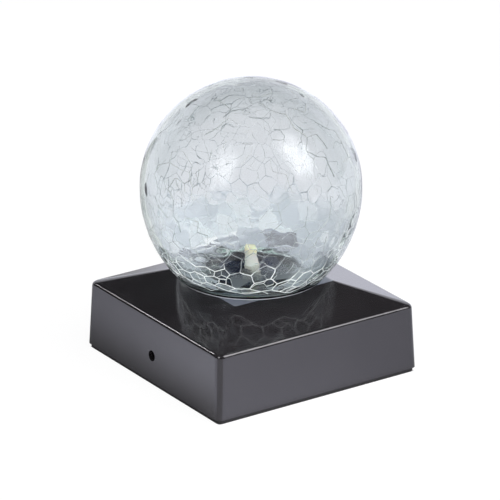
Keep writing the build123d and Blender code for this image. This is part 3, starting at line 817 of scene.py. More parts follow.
class Paint(Enum):
    """Finishes of the pieces."""

    SHELL = MouldedPlastic(
        "shell_gloss_black", roughness=0.08, marks=0.10, index=1.7, grain=0.9 * MM, grain_depth=0.002 * MM,
        # The flat top where the globe seats carries a painted reflection.
        flow_depth=0.02 * MM, gloss_tint=(0.985, 0.965, 1.0), painted_reflection_span=(41.02 * MM, 41.16 * MM),
    )
    FOOT = MouldedPlastic("foot_satin_black", roughness=0.28, marks=0.15)
    COLLAR = MouldedPlastic("collar_black", roughness=0.32, index=1.3)
    TRAY = MouldedPlastic("tray_matt_black", roughness=0.48, grain_depth=0.02 * MM, index=1.25)
    KNOB = MouldedPlastic("knob_black", roughness=0.40)
    CHIP = MouldedPlastic("chip_black", (0.012, 0.012, 0.013), (0.022, 0.022, 0.023), 0.45)
    SPACER = MouldedPlastic("spacer_cream", (0.78, 0.75, 0.62), (0.84, 0.81, 0.70), patch=3 * MM)
    GASKET = MouldedPlastic("gasket_grey", (0.10, 0.10, 0.10), (0.16, 0.16, 0.16), 0.62, patch=4 * MM)
    PANEL = MouldedPlastic(
        "panel_dark", (0.012, 0.014, 0.018), (0.022, 0.024, 0.030), 0.40, index=1.25, patch=5 * MM
    )
    INDUCTOR = MouldedPlastic("inductor_green", (0.030, 0.10, 0.040), (0.050, 0.15, 0.060), patch=2 * MM)
    GLASS = BlownGlass("crackle_glass_clear")
    # Both crack finishes carry the painted near-white and painted light near the base.
    CRACK = CrackFace("crackle_faces")
    GLINT = CrackFace("crackle_glints", dark=(0.45, 0.50, 0.50), high=WHITE, metallic=0.15)
    SEALANT = ClearResin("sealant_clear", (0.93, 0.94, 0.94), (0.25, 0.05, 3 * MM), 1.41)
    RESIN = ClearResin("resin_clear")
    CELLS = SolarFace("solar_cell_blue")
    LED = Epoxy("led_cream")
    STEEL = DrawnMetal("screw_steel")
    TIN = DrawnMetal("leg_tin", (0.70, 0.69, 0.66), (0.52, 0.51, 0.49), 0.34)
    NICKEL = DrawnMetal("contact_nickel", (0.68, 0.66, 0.60), (0.48, 0.46, 0.42), 0.24)
    BOARD = BoardMask("board_green")
    WRAP = CellWrap("cell_wrap_green")
    LEADS = LeadSleeve("lead_insulation_pair")
    FLOOR = StudioFloor("studio_floor")


@dataclass
class Assembly:
    """Base of the sub-assemblies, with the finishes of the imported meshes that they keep."""

    finishes: ClassVar[dict[str, Paint]] = {}

    def build(self) -> None:
        """Dresses the kept meshes. A sub-assembly with pieces of its own also makes those."""
        self.dress()

    def dress(self) -> None:
        """Gives each kept mesh its finish."""
        for node, paint in self.finishes.items():
            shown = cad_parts[node]
            shown.data.materials.clear()
            shown.data.materials.append(paint.value.material())
            LOG.info("%s dressed as %s", node, paint.value.name)


def add_mesh(
    name: str, points: np.ndarray, faces: list[tuple[int, ...]], smooth: bool = True
) -> bpy.types.Object:
    """Makes an object from points and faces.

    Args:
        name: name of the object.
        points: places of its points, one row each.
        faces: numbers of the points of each face.
        smooth: whether faces are shaded smooth.

    Returns:
        The object, linked to the scene.
    """
    mesh = bpy.data.meshes.new(name)
    mesh.from_pydata(points.tolist(), [], faces)
    mesh.polygons.foreach_set("use_smooth", [smooth] * len(faces))
    mesh.update()
    made = bpy.data.objects.new(name, mesh)
    bpy.context.scene.collection.objects.link(made)
    return made


def ring_faces(rows: list[list[int]], flipped: bool = False) -> list[tuple[int, ...]]:
    """Faces between neighbouring rings of points.

    Args:
        rows: numbers of the points of each ring. A pole's number is repeated.
        flipped: whether the faces look to the other side.

    Returns:
        The points of each face: four, or three beside a pole.
    """
    faces = []
    for upper, lower in zip(rows, rows[1:]):
        for step in range(len(upper)):
            after = (step + 1) % len(upper)
            corners = (upper[step], lower[step], lower[after], upper[after])
            if flipped:
                corners = (upper[step], upper[after], lower[after], lower[step])
            faces.append(tuple(dict.fromkeys(corners)))
    return faces


def lathe(name: str, section: list[SectionPoint], segments: int) -> bpy.types.Object:
    """Turns a half section about the Z axis.

    Args:
        name: name of the object.
        section: radius and height of each point, ordered so that the outside is on the left hand.
        segments: number of steps round.

    Returns:
        The turned object. A point on the axis becomes one pole.
    """
    points: list[Point] = []
    rows: list[list[int]] = []
    for radius, height in section:
        first = len(points)
        if radius < ON_AXIS:
            points.append((0.0, 0.0, height))
            rows.append([first] * segments)
            continue
        for step in range(segments):
            turn = 2 * math.pi * step / segments
            points.append((radius * math.cos(turn), radius * math.sin(turn), height))
        rows.append(list(range(first, first + segments)))
    return add_mesh(name, np.array(points), ring_faces(rows))


def arc(centre: SectionPoint, radius: float, start: float, end: float, steps: int) -> list[SectionPoint]:
    """Points along an arc in a half section, from one angle to another."""
    turns = np.linspace(start, end, steps)
    return [(centre[0] + radius * math.cos(t), centre[1] + radius * math.sin(t)) for t in turns]


def rounded(
    before: SectionPoint, corner: SectionPoint, after: SectionPoint, reach: float, steps: int = 6
) -> list[SectionPoint]:
    """Points that round a corner of a half section.

    Args:
        before: a point on the side that comes to the corner.
        corner: the corner.
        after: a point on the side that leaves it.
        reach: how far from the corner the rounding starts and ends.
        steps: number of points.

    Returns:
        The points, in order.
    """
    middle = Vector(corner)
    start = middle + (Vector(before) - middle).normalized() * reach
    end = middle + (Vector(after) - middle).normalized() * reach
    shares = np.linspace(0.0, 1.0, steps)
    curve = [start * (1 - s) ** 2 + middle * 2 * s * (1 - s) + end * s**2 for s in shares]
    return [(p.x, p.y) for p in curve]


class GeometryTree(Graph):
    """A Geometry Nodes tree with named inputs, which is run once on an object."""

    def __init__(self, name: str) -> None:
        """Starts a tree with one geometry input and one geometry output.

        Args:
            name: name of the tree.
        """
        super().__init__(bpy.data.node_groups.new(name, "GeometryNodeTree"))
        for way in ("INPUT", "OUTPUT"):
            self.tree.interface.new_socket("Geometry", in_out=way, socket_type="NodeSocketGeometry")
        self.values: dict[str, Any] = {}

    def add_input(self, name: str, kind: str, value: Any) -> None:
        """Adds a named input and keeps the value that the modifier gives it."""
        made = self.tree.interface.new_socket(name, in_out="INPUT", socket_type=kind)
        self.values[made.identifier] = value

    def lengths(self, **values: float) -> None:
        """Adds a named number for each keyword."""
        for name, value in values.items():
            self.add_input(name.replace("_", " ").title(), "NodeSocketFloat", value)

    def given(self, name: str) -> Sock:
        """One of the tree's inputs."""
        return self.node("NodeGroupInput", output=name)

    def place(self) -> Sock:
        """Place of each point."""
        return self.node("GeometryNodeInputPosition")

    def patches(self, size: float, detail: float = 1.0, output: int | str = 0) -> Sock:
        """Noise over the places of the points, with patches of a given size."""
        inputs = {"Vector": self.place(), "Scale": 1.0 / size, "Detail": detail}
        return self.node("ShaderNodeTexNoise", inputs=inputs, output=output)

    def chance(self, low: float, high: float, seed: Any, number: Sock | None = None) -> Sock:
        """Random value for each element.

        Args:
            low: least value.
            high: greatest value.
            seed: seed of the draw.
            number: what a draw belongs to, where that isn't the element itself.

        Returns:
            The value.
        """
        inputs = {2: low, 3: high, 8: seed}
        if number is not None:
            inputs[7] = number
        return self.node("FunctionNodeRandomValue", {"data_type": "FLOAT"}, inputs, 1)

    def stored(self, geometry: Sock, name: str, value: Sock) -> Sock:
        """Geometry that keeps a value at its points under a name."""
        return self.node(
            "GeometryNodeStoreNamedAttribute", {"data_type": "FLOAT", "domain": "POINT"},
            {0: geometry, "Name": name, "Value": value},
        )

    def finish(self, geometry: Sock, paint: Paint) -> None:
        """Ends the tree with real geometry in one finish.

        Args:
            geometry: what the tree has made.
            paint: its finish.
        """
        real = self.node("GeometryNodeRealizeInstances", inputs={0: geometry})
        painted = {0: real, "Material": paint.value.material()}
        self.node("NodeGroupOutput", inputs={0: self.node("GeometryNodeSetMaterial", inputs=painted)})

    def run(self, target: bpy.types.Object, name: str) -> bpy.types.Object:
        """Runs the tree on an object and keeps the result as a plain mesh.

        Args:
            target: the object that the tree starts from, which is removed.
            name: name of the result.

        Returns:
            A new object with the result as its mesh.
        """
        modifier = target.modifiers.new(self.tree.name, "NODES")
        modifier.node_group = self.tree
        for identifier, value in self.values.items():
            modifier[identifier] = value
        graph = bpy.context.evaluated_depsgraph_get()
        mesh = bpy.data.meshes.new_from_object(target.evaluated_get(graph))
        target.modifiers.clear()
        bpy.data.objects.remove(target)
        mesh.name = name
        made = bpy.data.objects.new(name, mesh)
        bpy.context.scene.collection.objects.link(made)
        return made


@dataclass(frozen=True)
class CrackPlan:
    """How one network of cracks is spread over the globe and cut into its wall.

    Strips have foot_size of their full size at the base and ball_size of it on the ball.
    """

    spacing: float
    keep_share: float
    depth: float
    thickness: float
    lean: float
    seed: int
    paint: Paint
    foot_size: float = 1.0
    ball_size: float = 0.5
    ball_span: Span = (62 * MM, 80 * MM)
    sparse_share: float = 0.42
    sparse_span: Span = (64 * MM, 92 * MM)
    thin_share: float = 0.6
    patch: float = 26 * MM
    patch_span: Span = (0.38, 0.62)
    wander: float = 1.3 * MM
    wander_patch: float = 9 * MM
    sway_patch: float = 4 * MM
    ragged_patch: float = 3 * MM
    ragged_least: float = 0.6
    ragged_gain: float = 0.6
    step: float = 0.7 * MM
    density: float = 60000.0


@dataclass
class Globe(Assembly):
    """The crackle-glass globe with its collar, sealant and gasket."""

    finishes = {"globe_collar": Paint.COLLAR, "neck_sealant": Paint.SEALANT, "globe_gasket": Paint.GASKET}

    base_radius: float = 33.0 * MM
    drop: float = 41.2 * MM
    wall: float = 2.6 * MM
    base_reach: float = 1.45 * MM
    inner_base_reach: float = 4.14 * MM
    base_steps: int = 9
    neck_radius: float = 22.0 * MM
    neck_reach: float = 1.2 * MM
    ledge: float = 1.0 * MM
    segments: int = 256
    outer_rows: int = 52
    inner_rows: int = 84
    wave: float = 16 * MM
    wave_depth: float = 0.08 * MM
    cell_tilt: float = 0.05
    tilt_start: float = 2.5 * MM
    tilt_end: float = 5.5 * MM
    facet_share: float = 0.35
    facet_limit: float = 0.30 * MM
    facet_low: float = 1.0 * MM
    facet_full: float = 5.0 * MM
    ground_height: float = 1.0 * MM
    skin_gap: float = 0.22 * MM
    skin_start: float = 2.6 * MM
    reach_limit: float = 1.2 * MM
    main: CrackPlan = CrackPlan(
        spacing=4.4 * MM, keep_share=1.0, depth=0.50 * MM, thickness=0.32 * MM, lean=0.25, seed=7,
        paint=Paint.CRACK, sparse_share=0.34,
    )
    fine: CrackPlan = CrackPlan(
        spacing=3.2 * MM, keep_share=0.65, depth=1.2 * MM, thickness=0.06 * MM, lean=0.12, seed=23,
        paint=Paint.GLINT, foot_size=0.4, ball_size=1.0, step=0.9 * MM,
    )

    def __post_init__(self) -> None:
        """Takes the globe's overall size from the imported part."""
        low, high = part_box("glass_globe")
        self.ball_radius = (high.x - low.x) / 2
        self.equator = high.z - self.ball_radius
        self.neck_end = low.z
        self.shoulder = self.equator - self.drop
        step = self.ball_radius - self.base_radius
        self.lower_radius = (self.drop**2 + step**2) / (2 * step)

    def section(self, inset: float, rows: int) -> list[SectionPoint]:
        """Half section of the ball, base and neck.

        Args:
            inset: distance inwards from the outside of the glass.
            rows: number of points on each of the ball's two arcs.

        Returns:
            Radius and height of each point, from the top pole to the neck's end.
        """
        ball = self.ball_radius - inset
        low = self.lower_radius - inset
        centre = (self.ball_radius - self.lower_radius, self.equator)
        floor = self.shoulder + inset
        end = math.asin((self.equator - floor) / low)
        upper = arc((0.0, self.equator), ball, math.pi / 2, 0.0, rows)
        lower = arc(centre, low, 0.0, -end, rows)
        base = lower[-1]
        neck = (self.neck_radius - inset, floor)
        upper[0] = (0.0, self.equator + ball)
        reach = self.base_reach + (self.inner_base_reach - self.base_reach) * inset / self.wall
        side = [p for p in lower[1:] if math.dist(p, base) > reach]
        foot = rounded(side[-1], base, neck, reach, self.base_steps)
        ledge = [(base[0] - reach - self.ledge, floor)]
        bend = rounded(base, neck, (neck[0], self.neck_end), self.neck_reach + inset)
        return upper + side + foot + ledge + bend + [(neck[0], self.neck_end)]

    def skin(self) -> bpy.types.Object:
        """Lays out the surface that the cracks follow.

        Returns:
            A surface just under the outside of the ball.
        """
        low = self.shoulder + self.skin_start
        section = self.section(self.skin_gap, self.outer_rows)
        return lathe("globe_skin", [(r, z) for r, z in section if z > low], self.segments)

    @staticmethod
    def cell_points(tree: GeometryTree, skin: Sock, plan: CrackPlan) -> Sock:
        """Points in the middle of the crackle cells.

        Args:
            tree: the tree that gets the points.
            skin: the surface that they lie on.
            plan: their spread.

        Returns:
            The points, closer together towards the base and in some patches.
        """
        loose = tree.soft_step(tree.height(), *plan.sparse_span)
        patch = tree.soft_step(tree.patches(plan.patch), *plan.patch_span)
        share = 1.0 - (1.0 - plan.sparse_share) * loose
        inputs = {
            "Mesh": skin,
            "Distance Min": plan.spacing,
            "Density Max": plan.density,
            "Density Factor": share * (plan.thin_share + (1.0 - plan.thin_share) * patch),
            "Seed": plan.seed,
        }
        return tree.node("GeometryNodeDistributePointsOnFaces", {"distribute_method": "POISSON"}, inputs)

    def turned_wall(self) -> bpy.types.Object:
        """Turns the plain wall of the globe.

        Returns:
            The wall, with its inside, its lining, its outside and its ground base edge marked.
        """
        outside = self.section(0.0, self.outer_rows)
        inside = self.section(self.wall, self.inner_rows)
        wall = lathe("globe_wall", outside + inside[::-1], self.segments)
        places = np.array([v.co for v in wall.data.vertices])
        height = places[:, 2] - self.shoulder
        radius = np.hypot(places[:, 0], places[:, 1])
        within = np.arange(len(places)) >= 1 + (len(outside) - 1) * self.segments
        ball = (radius > self.neck_radius) | (height > self.drop)
        facets = np.clip((height - self.facet_low) / (self.facet_full - self.facet_low), 0.0, 1.0)
        ring = radius > self.base_radius - self.base_reach - self.ledge / 2
        marks = {
            "inside": within & ball & (height > 2 * self.wall),
            "lining": within & ball,
            "outside": ~within * facets,
            "ground": ~within & ring & (height < self.ground_height),
        }
        for name, values in marks.items():
            attribute = wall.data.attributes.new(name, "FLOAT", "POINT")
            attribute.data.foreach_set("value", values.astype(np.float32))
        return wall

    def unevenness(self, tree: GeometryTree, away: Sock, nearest: Sock) -> Sock:
        """How far each point of the wall moves outwards.

        Args:
            tree: the tree of the wall.
            away: from the middle of the point's cell to the point.
            nearest: number of that cell.

        Returns:
            The distance: a tilt and a wave on the inside, and a flattened cell on the outside.
        """
        tilt = tree.node(
            "FunctionNodeRandomValue", {"data_type": "FLOAT_VECTOR"},
            {0: (-1.0, -1.0, -1.0), 1: (1.0, 1.0, 1.0), 7: nearest, 8: self.main.seed},
        )
        reach = tree.measure("LENGTH", away)
        lift = tree.measure("DOT_PRODUCT", tilt, away) * tree.given("Cell Tilt")
        fade = 1.0 - tree.soft_step(reach, tree.given("Tilt Start"), tree.given("Tilt End"))
        wave = (tree.patches(self.wave) - NOISE_MIDDLE) * tree.given("Wave Depth") * 2.0
        limit = tree.given("Facet Limit")
        sag = (reach * reach / tree.given("Ball Width")).at_most(limit)
        inside, outside = [
            tree.node("GeometryNodeInputNamedAttribute", {"data_type": "FLOAT"}, {"Name": name})
            for name in ("inside", "outside")
        ]
        return inside * (lift * fade + wave) + outside * ((sag - limit) * tree.given("Facet Share"))

    def blow(self) -> bpy.types.Object:
        """Makes the glass wall, uneven as blown glass is.

        Returns:
            The wall, with each crackle cell flattened and tilted a little and given its own cloudiness.
        """
        tree = GeometryTree("blown_wall")
        tree.lengths(
            wave_depth=self.wave_depth, cell_tilt=self.cell_tilt, tilt_start=self.tilt_start,
            tilt_end=self.tilt_end, facet_share=self.facet_share, facet_limit=self.facet_limit,
            ball_width=2 * self.ball_radius,
        )
        skin_object = self.skin()
        skin = tree.node("GeometryNodeObjectInfo", inputs={"Object": skin_object}, output="Geometry")
        cells = self.cell_points(tree, skin, self.main)
        place = tree.place()
        nearest = tree.node("GeometryNodeSampleNearest", {"domain": "POINT"}, {0: cells, 1: place})
        middle = tree.node(
            "GeometryNodeSampleIndex", {"data_type": "FLOAT_VECTOR"}, {0: cells, 1: place, 2: nearest}
        )
        rise = self.unevenness(tree, tree.vector("SUBTRACT", place, middle), nearest)
        shift = tree.scaled(tree.node("GeometryNodeInputNormal"), rise)
        cloud = tree.chance(0.0, 1.0, self.main.seed, nearest)
        marked = tree.stored(tree.given("Geometry"), CELL_CLOUD, cloud)
        moved = tree.node("GeometryNodeSetPosition", inputs={0: marked, "Offset": shift})
        tree.finish(moved, Paint.GLASS)
        glass = tree.run(self.turned_wall(), "globe_glass")
        bpy.data.objects.remove(skin_object)
        return glass

    def crack_lines(self, tree: GeometryTree, skin: Sock, plan: CrackPlan) -> Sock:
        """Lines between the crackle cells.

        Args:
            tree: the tree of the network.
            skin: the surface that the lines lie on.
            plan: their spread.

        Returns:
            The lines, wandering a little, as curves.
        """
        hull = tree.node("GeometryNodeConvexHull", inputs={0: self.cell_points(tree, skin, plan)})
        cells = tree.node("GeometryNodeDualMesh", inputs={0: hull})
        near = tree.node("GeometryNodeProximity", {"target_element": "FACES"}, {"Target": skin})
        lost = tree.chance(0.0, 1.0, plan.seed) > tree.given("Keep Share")
        stray = (near.other("Distance") > tree.given("Reach Limit")).at_least(lost)
        kept = tree.node(
            "GeometryNodeDeleteGeometry", {"domain": "EDGE", "mode": "ALL"}, {0: cells, 1: stray}
        )
        lines = tree.node("GeometryNodeMeshToCurve", inputs={0: kept})
        steps = {0: lines, "Length": tree.given("Step")}
        lines = tree.node("GeometryNodeResampleCurve", {"mode": "LENGTH"}, steps)
        drift = tree.patches(plan.wander_patch, detail=3.0, output="Color")
        drift = tree.vector("SUBTRACT", drift, (NOISE_MIDDLE,) * 3)
        shift = tree.scaled(drift, tree.given("Wander") * 2.0)
        lines = tree.node("GeometryNodeSetPosition", inputs={0: lines, "Offset": shift})
        return tree.node("GeometryNodeSetPosition", inputs={0: lines, "Position": near.other("Position")})

    def crack_strips(self, tree: GeometryTree, lines: Sock, plan: CrackPlan) -> Sock:
        """Closed strips along lines that have their normals.

        Args:
            tree: the tree of the network.
            lines: the lines, as curves.
            plan: size and raggedness of the strips.

        Returns:
            The strips, which reach into the wall from the lines.
        """
        half = tree.given("Thickness") * 0.5
        inner = tree.given("Depth") * -1.0
        corners = [
            tree.node("ShaderNodeCombineXYZ", inputs={0: x, 1: y})
            for x, y in ((inner, half), (inner, -half), (0.0, -half), (0.0, half))
        ]
        profile = tree.node(
            "GeometryNodeCurvePrimitiveQuadrilateral", {"mode": "POINTS"},
            {f"Point {number}": corner for number, corner in enumerate(corners, 1)},
        )
        foot = 1.0 - tree.soft_step(tree.height(), *plan.ball_span)
        full = tree.given("Ball Size") + (tree.given("Foot Size") - tree.given("Ball Size")) * foot
        ragged = plan.ragged_least + plan.ragged_gain * tree.patches(plan.ragged_patch, detail=2.0)
        inputs = {0: lines, 1: profile, "Scale": full * ragged, "Fill Caps": True}
        strips = tree.node("GeometryNodeCurveToMesh", inputs=inputs)
        return tree.node("GeometryNodeSetShadeSmooth", inputs={0: strips, "Shade Smooth": False})

    def crack(self, plan: CrackPlan, name: str) -> bpy.types.Object:
        """Network of cracks in the glass wall, as thin closed strips.

        Args:
            plan: spread, depth and unevenness of the network.
            name: name of the piece.

        Returns:
            The network as one object.
        """
        tree = GeometryTree(name + "_tree")
        tree.lengths(
            step=plan.step, depth=plan.depth, thickness=plan.thickness, lean=plan.lean, wander=plan.wander,
            keep_share=plan.keep_share, foot_size=plan.foot_size, ball_size=plan.ball_size,
            reach_limit=self.reach_limit,
        )
        skin = tree.given("Geometry")
        lines = self.crack_lines(tree, skin, plan)
        whole_line = {"domain": "CURVE", "data_type": "INT"}
        number = tree.node("GeometryNodeFieldOnDomain", whole_line, {0: tree.node("GeometryNodeInputIndex")})
        lines = tree.stored(lines, CRACK_STRENGTH, tree.chance(0.0, 1.0, plan.seed + 1, number))
        slant = tree.chance(-1.0, 1.0, plan.seed + 2, number)
        sway = tree.patches(plan.sway_patch) - NOISE_MIDDLE
        outward = tree.node(
            "GeometryNodeSampleNearestSurface", {"data_type": "FLOAT_VECTOR"},
            {0: skin, 1: tree.node("GeometryNodeInputNormal"), "Sample Position": tree.place()},
        )
        angle = {"Axis": tree.node("GeometryNodeInputTangent"), "Angle": tree.given("Lean") * (slant + sway)}
        turn = tree.node("FunctionNodeAxisAngleToRotation", inputs=angle)
        leaning = tree.node("FunctionNodeRotateVector", inputs={0: outward, 1: turn})
        lines = tree.node("GeometryNodeSetCurveNormal", {"mode": "FREE"}, {0: lines, "Normal": leaning})
        tree.finish(self.crack_strips(tree, lines, plan), plan.paint)
        return tree.run(self.skin(), name)

    def build(self) -> None:
        """Makes the glass and its cracks and dresses the collar, sealant and gasket."""
        glass = self.blow()
        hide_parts("glass_globe")
        pieces = [glass, self.crack(self.main, "globe_cracks"), self.crack(self.fine, "globe_fine_cracks")]
        for piece in pieces:
            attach(piece, Body.GLOBE.value)
            LOG.info("%s has %d faces", piece.name, len(piece.data.polygons))
        self.dress()


@dataclass
class Cap(Assembly):
    """The moulded cap and the frame under its skirt."""

    finishes = {"cap_shell": Paint.SHELL, "foot_frame": Paint.FOOT}


@dataclass
class Lamp(Assembly):
    """The solar panel and the LED that stands in it."""

    finishes = {
        "panel_board": Paint.PANEL, "solar_cells": Paint.CELLS, "panel_resin": Paint.RESIN,
        "led_spacer": Paint.SPACER, "led_lamp": Paint.LED, "led_legs": Paint.TIN,
    }


class RingKind(Enum):
    """Kinds of rings of points on a screw."""

    FACE = "face"
    PLAIN = "plain"
    THREAD = "thread"


@dataclass
class ScrewSet:
    """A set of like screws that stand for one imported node."""

    node: str
    centres: list[tuple[float, float]]
    low: float
    high: float
    radius: float
    head_radius: float
    head_height: float
    slot: str = "screw_steel"
    segments: int = 40
    face_rings: int = 15
    face_share: float = 0.94
    dome_share: float = 0.30
    dome_power: float = 2.4
    side_share: float = 0.55
    thread_pitch: float = 0.9 * MM
    thread_depth: float = 0.22 * MM
    thread_start: float = 0.02
    thread_end: float = 0.94
    rings_per_turn: int = 6
    arm: float = 0.62
    arm_width: float = 0.20
    recess_share: float = 0.55
    recess_slope: float = 1.5
    seed: int = 11

    def __post_init__(self) -> None:
        """Works out where the heads sit and how long the shanks are."""
        self.seat = self.low + self.head_height
        self.length = self.high - self.seat

    def rings(self) -> list[tuple[float, float, RingKind]]:
        """Rings of points of one screw that points up from its seat.

        Returns:
            Radius, height and kind of each ring, from the middle of the head's face to the tip.
        """
        rings = []
        for share in np.linspace(0.0, 1.0, self.face_rings):
            dome = self.dome_share * self.head_height * share**self.dome_power
            radius = share * self.head_radius * self.face_share
            rings.append((radius, -self.head_height + dome, RingKind.FACE))
        rings.append((self.head_radius, -self.side_share * self.head_height, RingKind.PLAIN))
        rings.append((self.head_radius, 0.0, RingKind.PLAIN))
        rings.append((self.radius, 0.0, RingKind.PLAIN))
        count = int(self.length / self.thread_pitch * self.rings_per_turn)
        first, *others = np.linspace(self.thread_start, self.thread_end, count)
        rings.append((self.radius, first * self.length, RingKind.PLAIN))
        rings += [(self.radius, share * self.length, RingKind.THREAD) for share in others]
        rings.append((0.0, self.length, RingKind.PLAIN))
        return rings

    def groove(self, height: float, step: int) -> float:
        """Depth of the thread's groove at a height and a step round the shank."""
        wave = abs(((height / self.thread_pitch - step / self.segments) % 1.0) * 2.0 - 1.0)
        return self.thread_depth * wave

    def recess(self, x: float, y: float) -> float:
        """Depth of the cross recess.

        Args:
            x: place across the head.
            y: place along the head.

        Returns:
            The depth at that place, and zero outside the cross.
        """
        across, along = sorted((abs(x), abs(y)))
        half = self.arm_width * self.head_radius
        end = self.arm * self.head_radius
        inside = across < half and along < end
        slope = 1.0 - along / (self.recess_slope * end)
        return self.recess_share * self.head_height * slope if inside else 0.0

    def template(self) -> bpy.types.Object:
        """Makes one screw: a domed head with a cross recess and a threaded shank.

        Returns:
            The screw, which points up from its seat.
        """
        points: list[Point] = []
        rows: list[list[int]] = []
        for radius, height, kind in self.rings():
            first = len(points)
            count = 1 if radius < ON_AXIS else self.segments
            for step in range(count):
                turn = 2 * math.pi * step / self.segments
                reach = radius - self.groove(height, step) if kind is RingKind.THREAD else radius
                x, y = reach * math.cos(turn), reach * math.sin(turn)
                sunk = self.recess(x, y) if kind is RingKind.FACE else 0.0
                points.append((x, y, height + sunk))
            rows.append([first + step % count for step in range(self.segments)])
        faces = ring_faces(rows, flipped=True)
        made = add_mesh(self.node + "_template", np.array(points), faces, smooth=False)
        made.data.materials.append(Paint.STEEL.value.material())
        return made

    def build(self) -> None:
        """Places one screw at each centre, each turned its own way."""
        places = np.array([(x, y, self.seat) for x, y in self.centres])
        points = add_mesh(self.node + "_places", places, [])
        template = self.template()
        tree = GeometryTree(self.node + "_tree")
        tree.add_input("Screw", "NodeSocketObject", template)
        tree.add_input("Seed", "NodeSocketInt", self.seed)
        source = {"Object": tree.given("Screw")}
        screw = tree.node("GeometryNodeObjectInfo", inputs=source, output="Geometry")
        angle = {"Axis": (0.0, 0.0, 1.0), "Angle": tree.chance(0.0, math.pi, tree.given("Seed"))}
        spin = tree.node("FunctionNodeAxisAngleToRotation", inputs=angle)
        placed = {0: tree.given("Geometry"), "Instance": screw, "Rotation": spin}
        tree.finish(tree.node("GeometryNodeInstanceOnPoints", inputs=placed), Paint.STEEL)
        made = tree.run(points, self.node + "_threaded")
        bpy.data.objects.remove(template)
        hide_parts(self.node)
        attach(made, Body.CAP.value)
        LOG.info("%s has %d faces", made.name, len(made.data.polygons))


@dataclass
class Housing(Assembly):
    """The tray under the cap, its cover, its door and the screws that hold them."""

    finishes = {"lamp_tray": Paint.TRAY, "base_cover": Paint.TRAY, "battery_door": Paint.TRAY}

    radius: float = 1.2 * MM
    head_radius: float = 2.7 * MM
    head_height: float = 1.6 * MM
    board_radius: float = 0.9 * MM
    board_head_radius: float = 1.8 * MM
    board_head_height: float = 1.2 * MM

    def build(self) -> None:
        """Dresses the tray, cover and door, and makes the screws."""
        self.dress()
        size = (self.radius, self.head_radius, self.head_height)
        for node in ("tray_screws", "cover_screws"):
            low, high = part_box(node)
            x, y = high.x - self.head_radius, high.y - self.head_radius
            ScrewSet(node, [(x, y), (-x, y), (-x, -y), (x, -y)], low.z, high.z, *size).build()
        size = (self.board_radius, self.board_head_radius, self.board_head_height)
        low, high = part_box("board_screws")
        y = (low.y + high.y) / 2
        centres = [(low.x + self.board_head_radius, y), (high.x - self.board_head_radius, y)]
        ScrewSet("board_screws", centres, low.z, high.z, *size).build()


@dataclass
class Electronics(Assembly):
    """The board, the switch, the cell with its contacts, and the leads."""

    finishes = {
        "circuit_board": Paint.BOARD, "driver_chip": Paint.CHIP, "inductor": Paint.INDUCTOR,
        "switch_case": Paint.STEEL, "switch_knob": Paint.KNOB, "battery_cell": Paint.WRAP,
        "battery_leaf": Paint.NICKEL, "battery_plate": Paint.NICKEL, "panel_leads": Paint.LEADS,
        "led_leads": Paint.LEADS, "battery_leads": Paint.LEADS,
    }


@dataclass
class SoftBox:
    """A soft box that faces the light, placed by its direction as the camera sees it."""

    name: str
    direction: Point
    width: float
    height: float
    radiance: float
    edge: float = 0.35
    mirrored: bool = True
    only_on: str = ""
    distance: float = 1.5

    def build(self, right: Vector, up: Vector, back: Vector, centre: Vector) -> None:
        """Hangs the soft box.

        Args:
            right: the camera's right.
            up: the camera's up.
            back: from the object towards the camera.
            centre: the point that the box faces.
        """
        way = (right * self.direction[0] + up * self.direction[1] + back * self.direction[2]).normalized()
        lamp = bpy.data.lights.new(self.name, "AREA")
        lamp.shape = "RECTANGLE"
        lamp.size = self.width
        lamp.size_y = self.height
        lamp.energy = self.radiance * math.pi * self.width * self.height
        self.soften(lamp)
        made = bpy.data.objects.new(self.name, lamp)
        made.visible_glossy = self.mirrored
        made.visible_transmission = self.mirrored
        made.location = centre + way * self.distance
        made.rotation_mode = "QUATERNION"
        made.rotation_quaternion = way.to_track_quat("Z", "Y")
        bpy.context.scene.collection.objects.link(made)
        if self.only_on:
            lit = bpy.data.collections.new(self.name + "_receivers")
            lit.objects.link(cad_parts[self.only_on])
            made.light_linking.receiver_collection = lit

    def soften(self, lamp: bpy.types.Light) -> None:
        """Lets the soft box fade out towards its edges.

        Args:
            lamp: the lamp of the soft box.
        """
        lamp.use_nodes = True
        lamp.node_tree.nodes.clear()
        graph = Graph(lamp.node_tree)
        across, along, _ = graph.axes(graph.node("ShaderNodeNewGeometry", output="Parametric"))
        sides = [value.at_most(1.0 - value) for value in (across, along)]
        fades = [graph.soft_step(side, 0.0, self.edge) for side in sides]
        colour = graph.blend(fades[0] * fades[1], BLACK, WHITE)
        light = graph.node("ShaderNodeEmission", inputs={"Color": colour, "Strength": 1.0})
        graph.node("ShaderNodeOutputLight", inputs={"Surface": light})


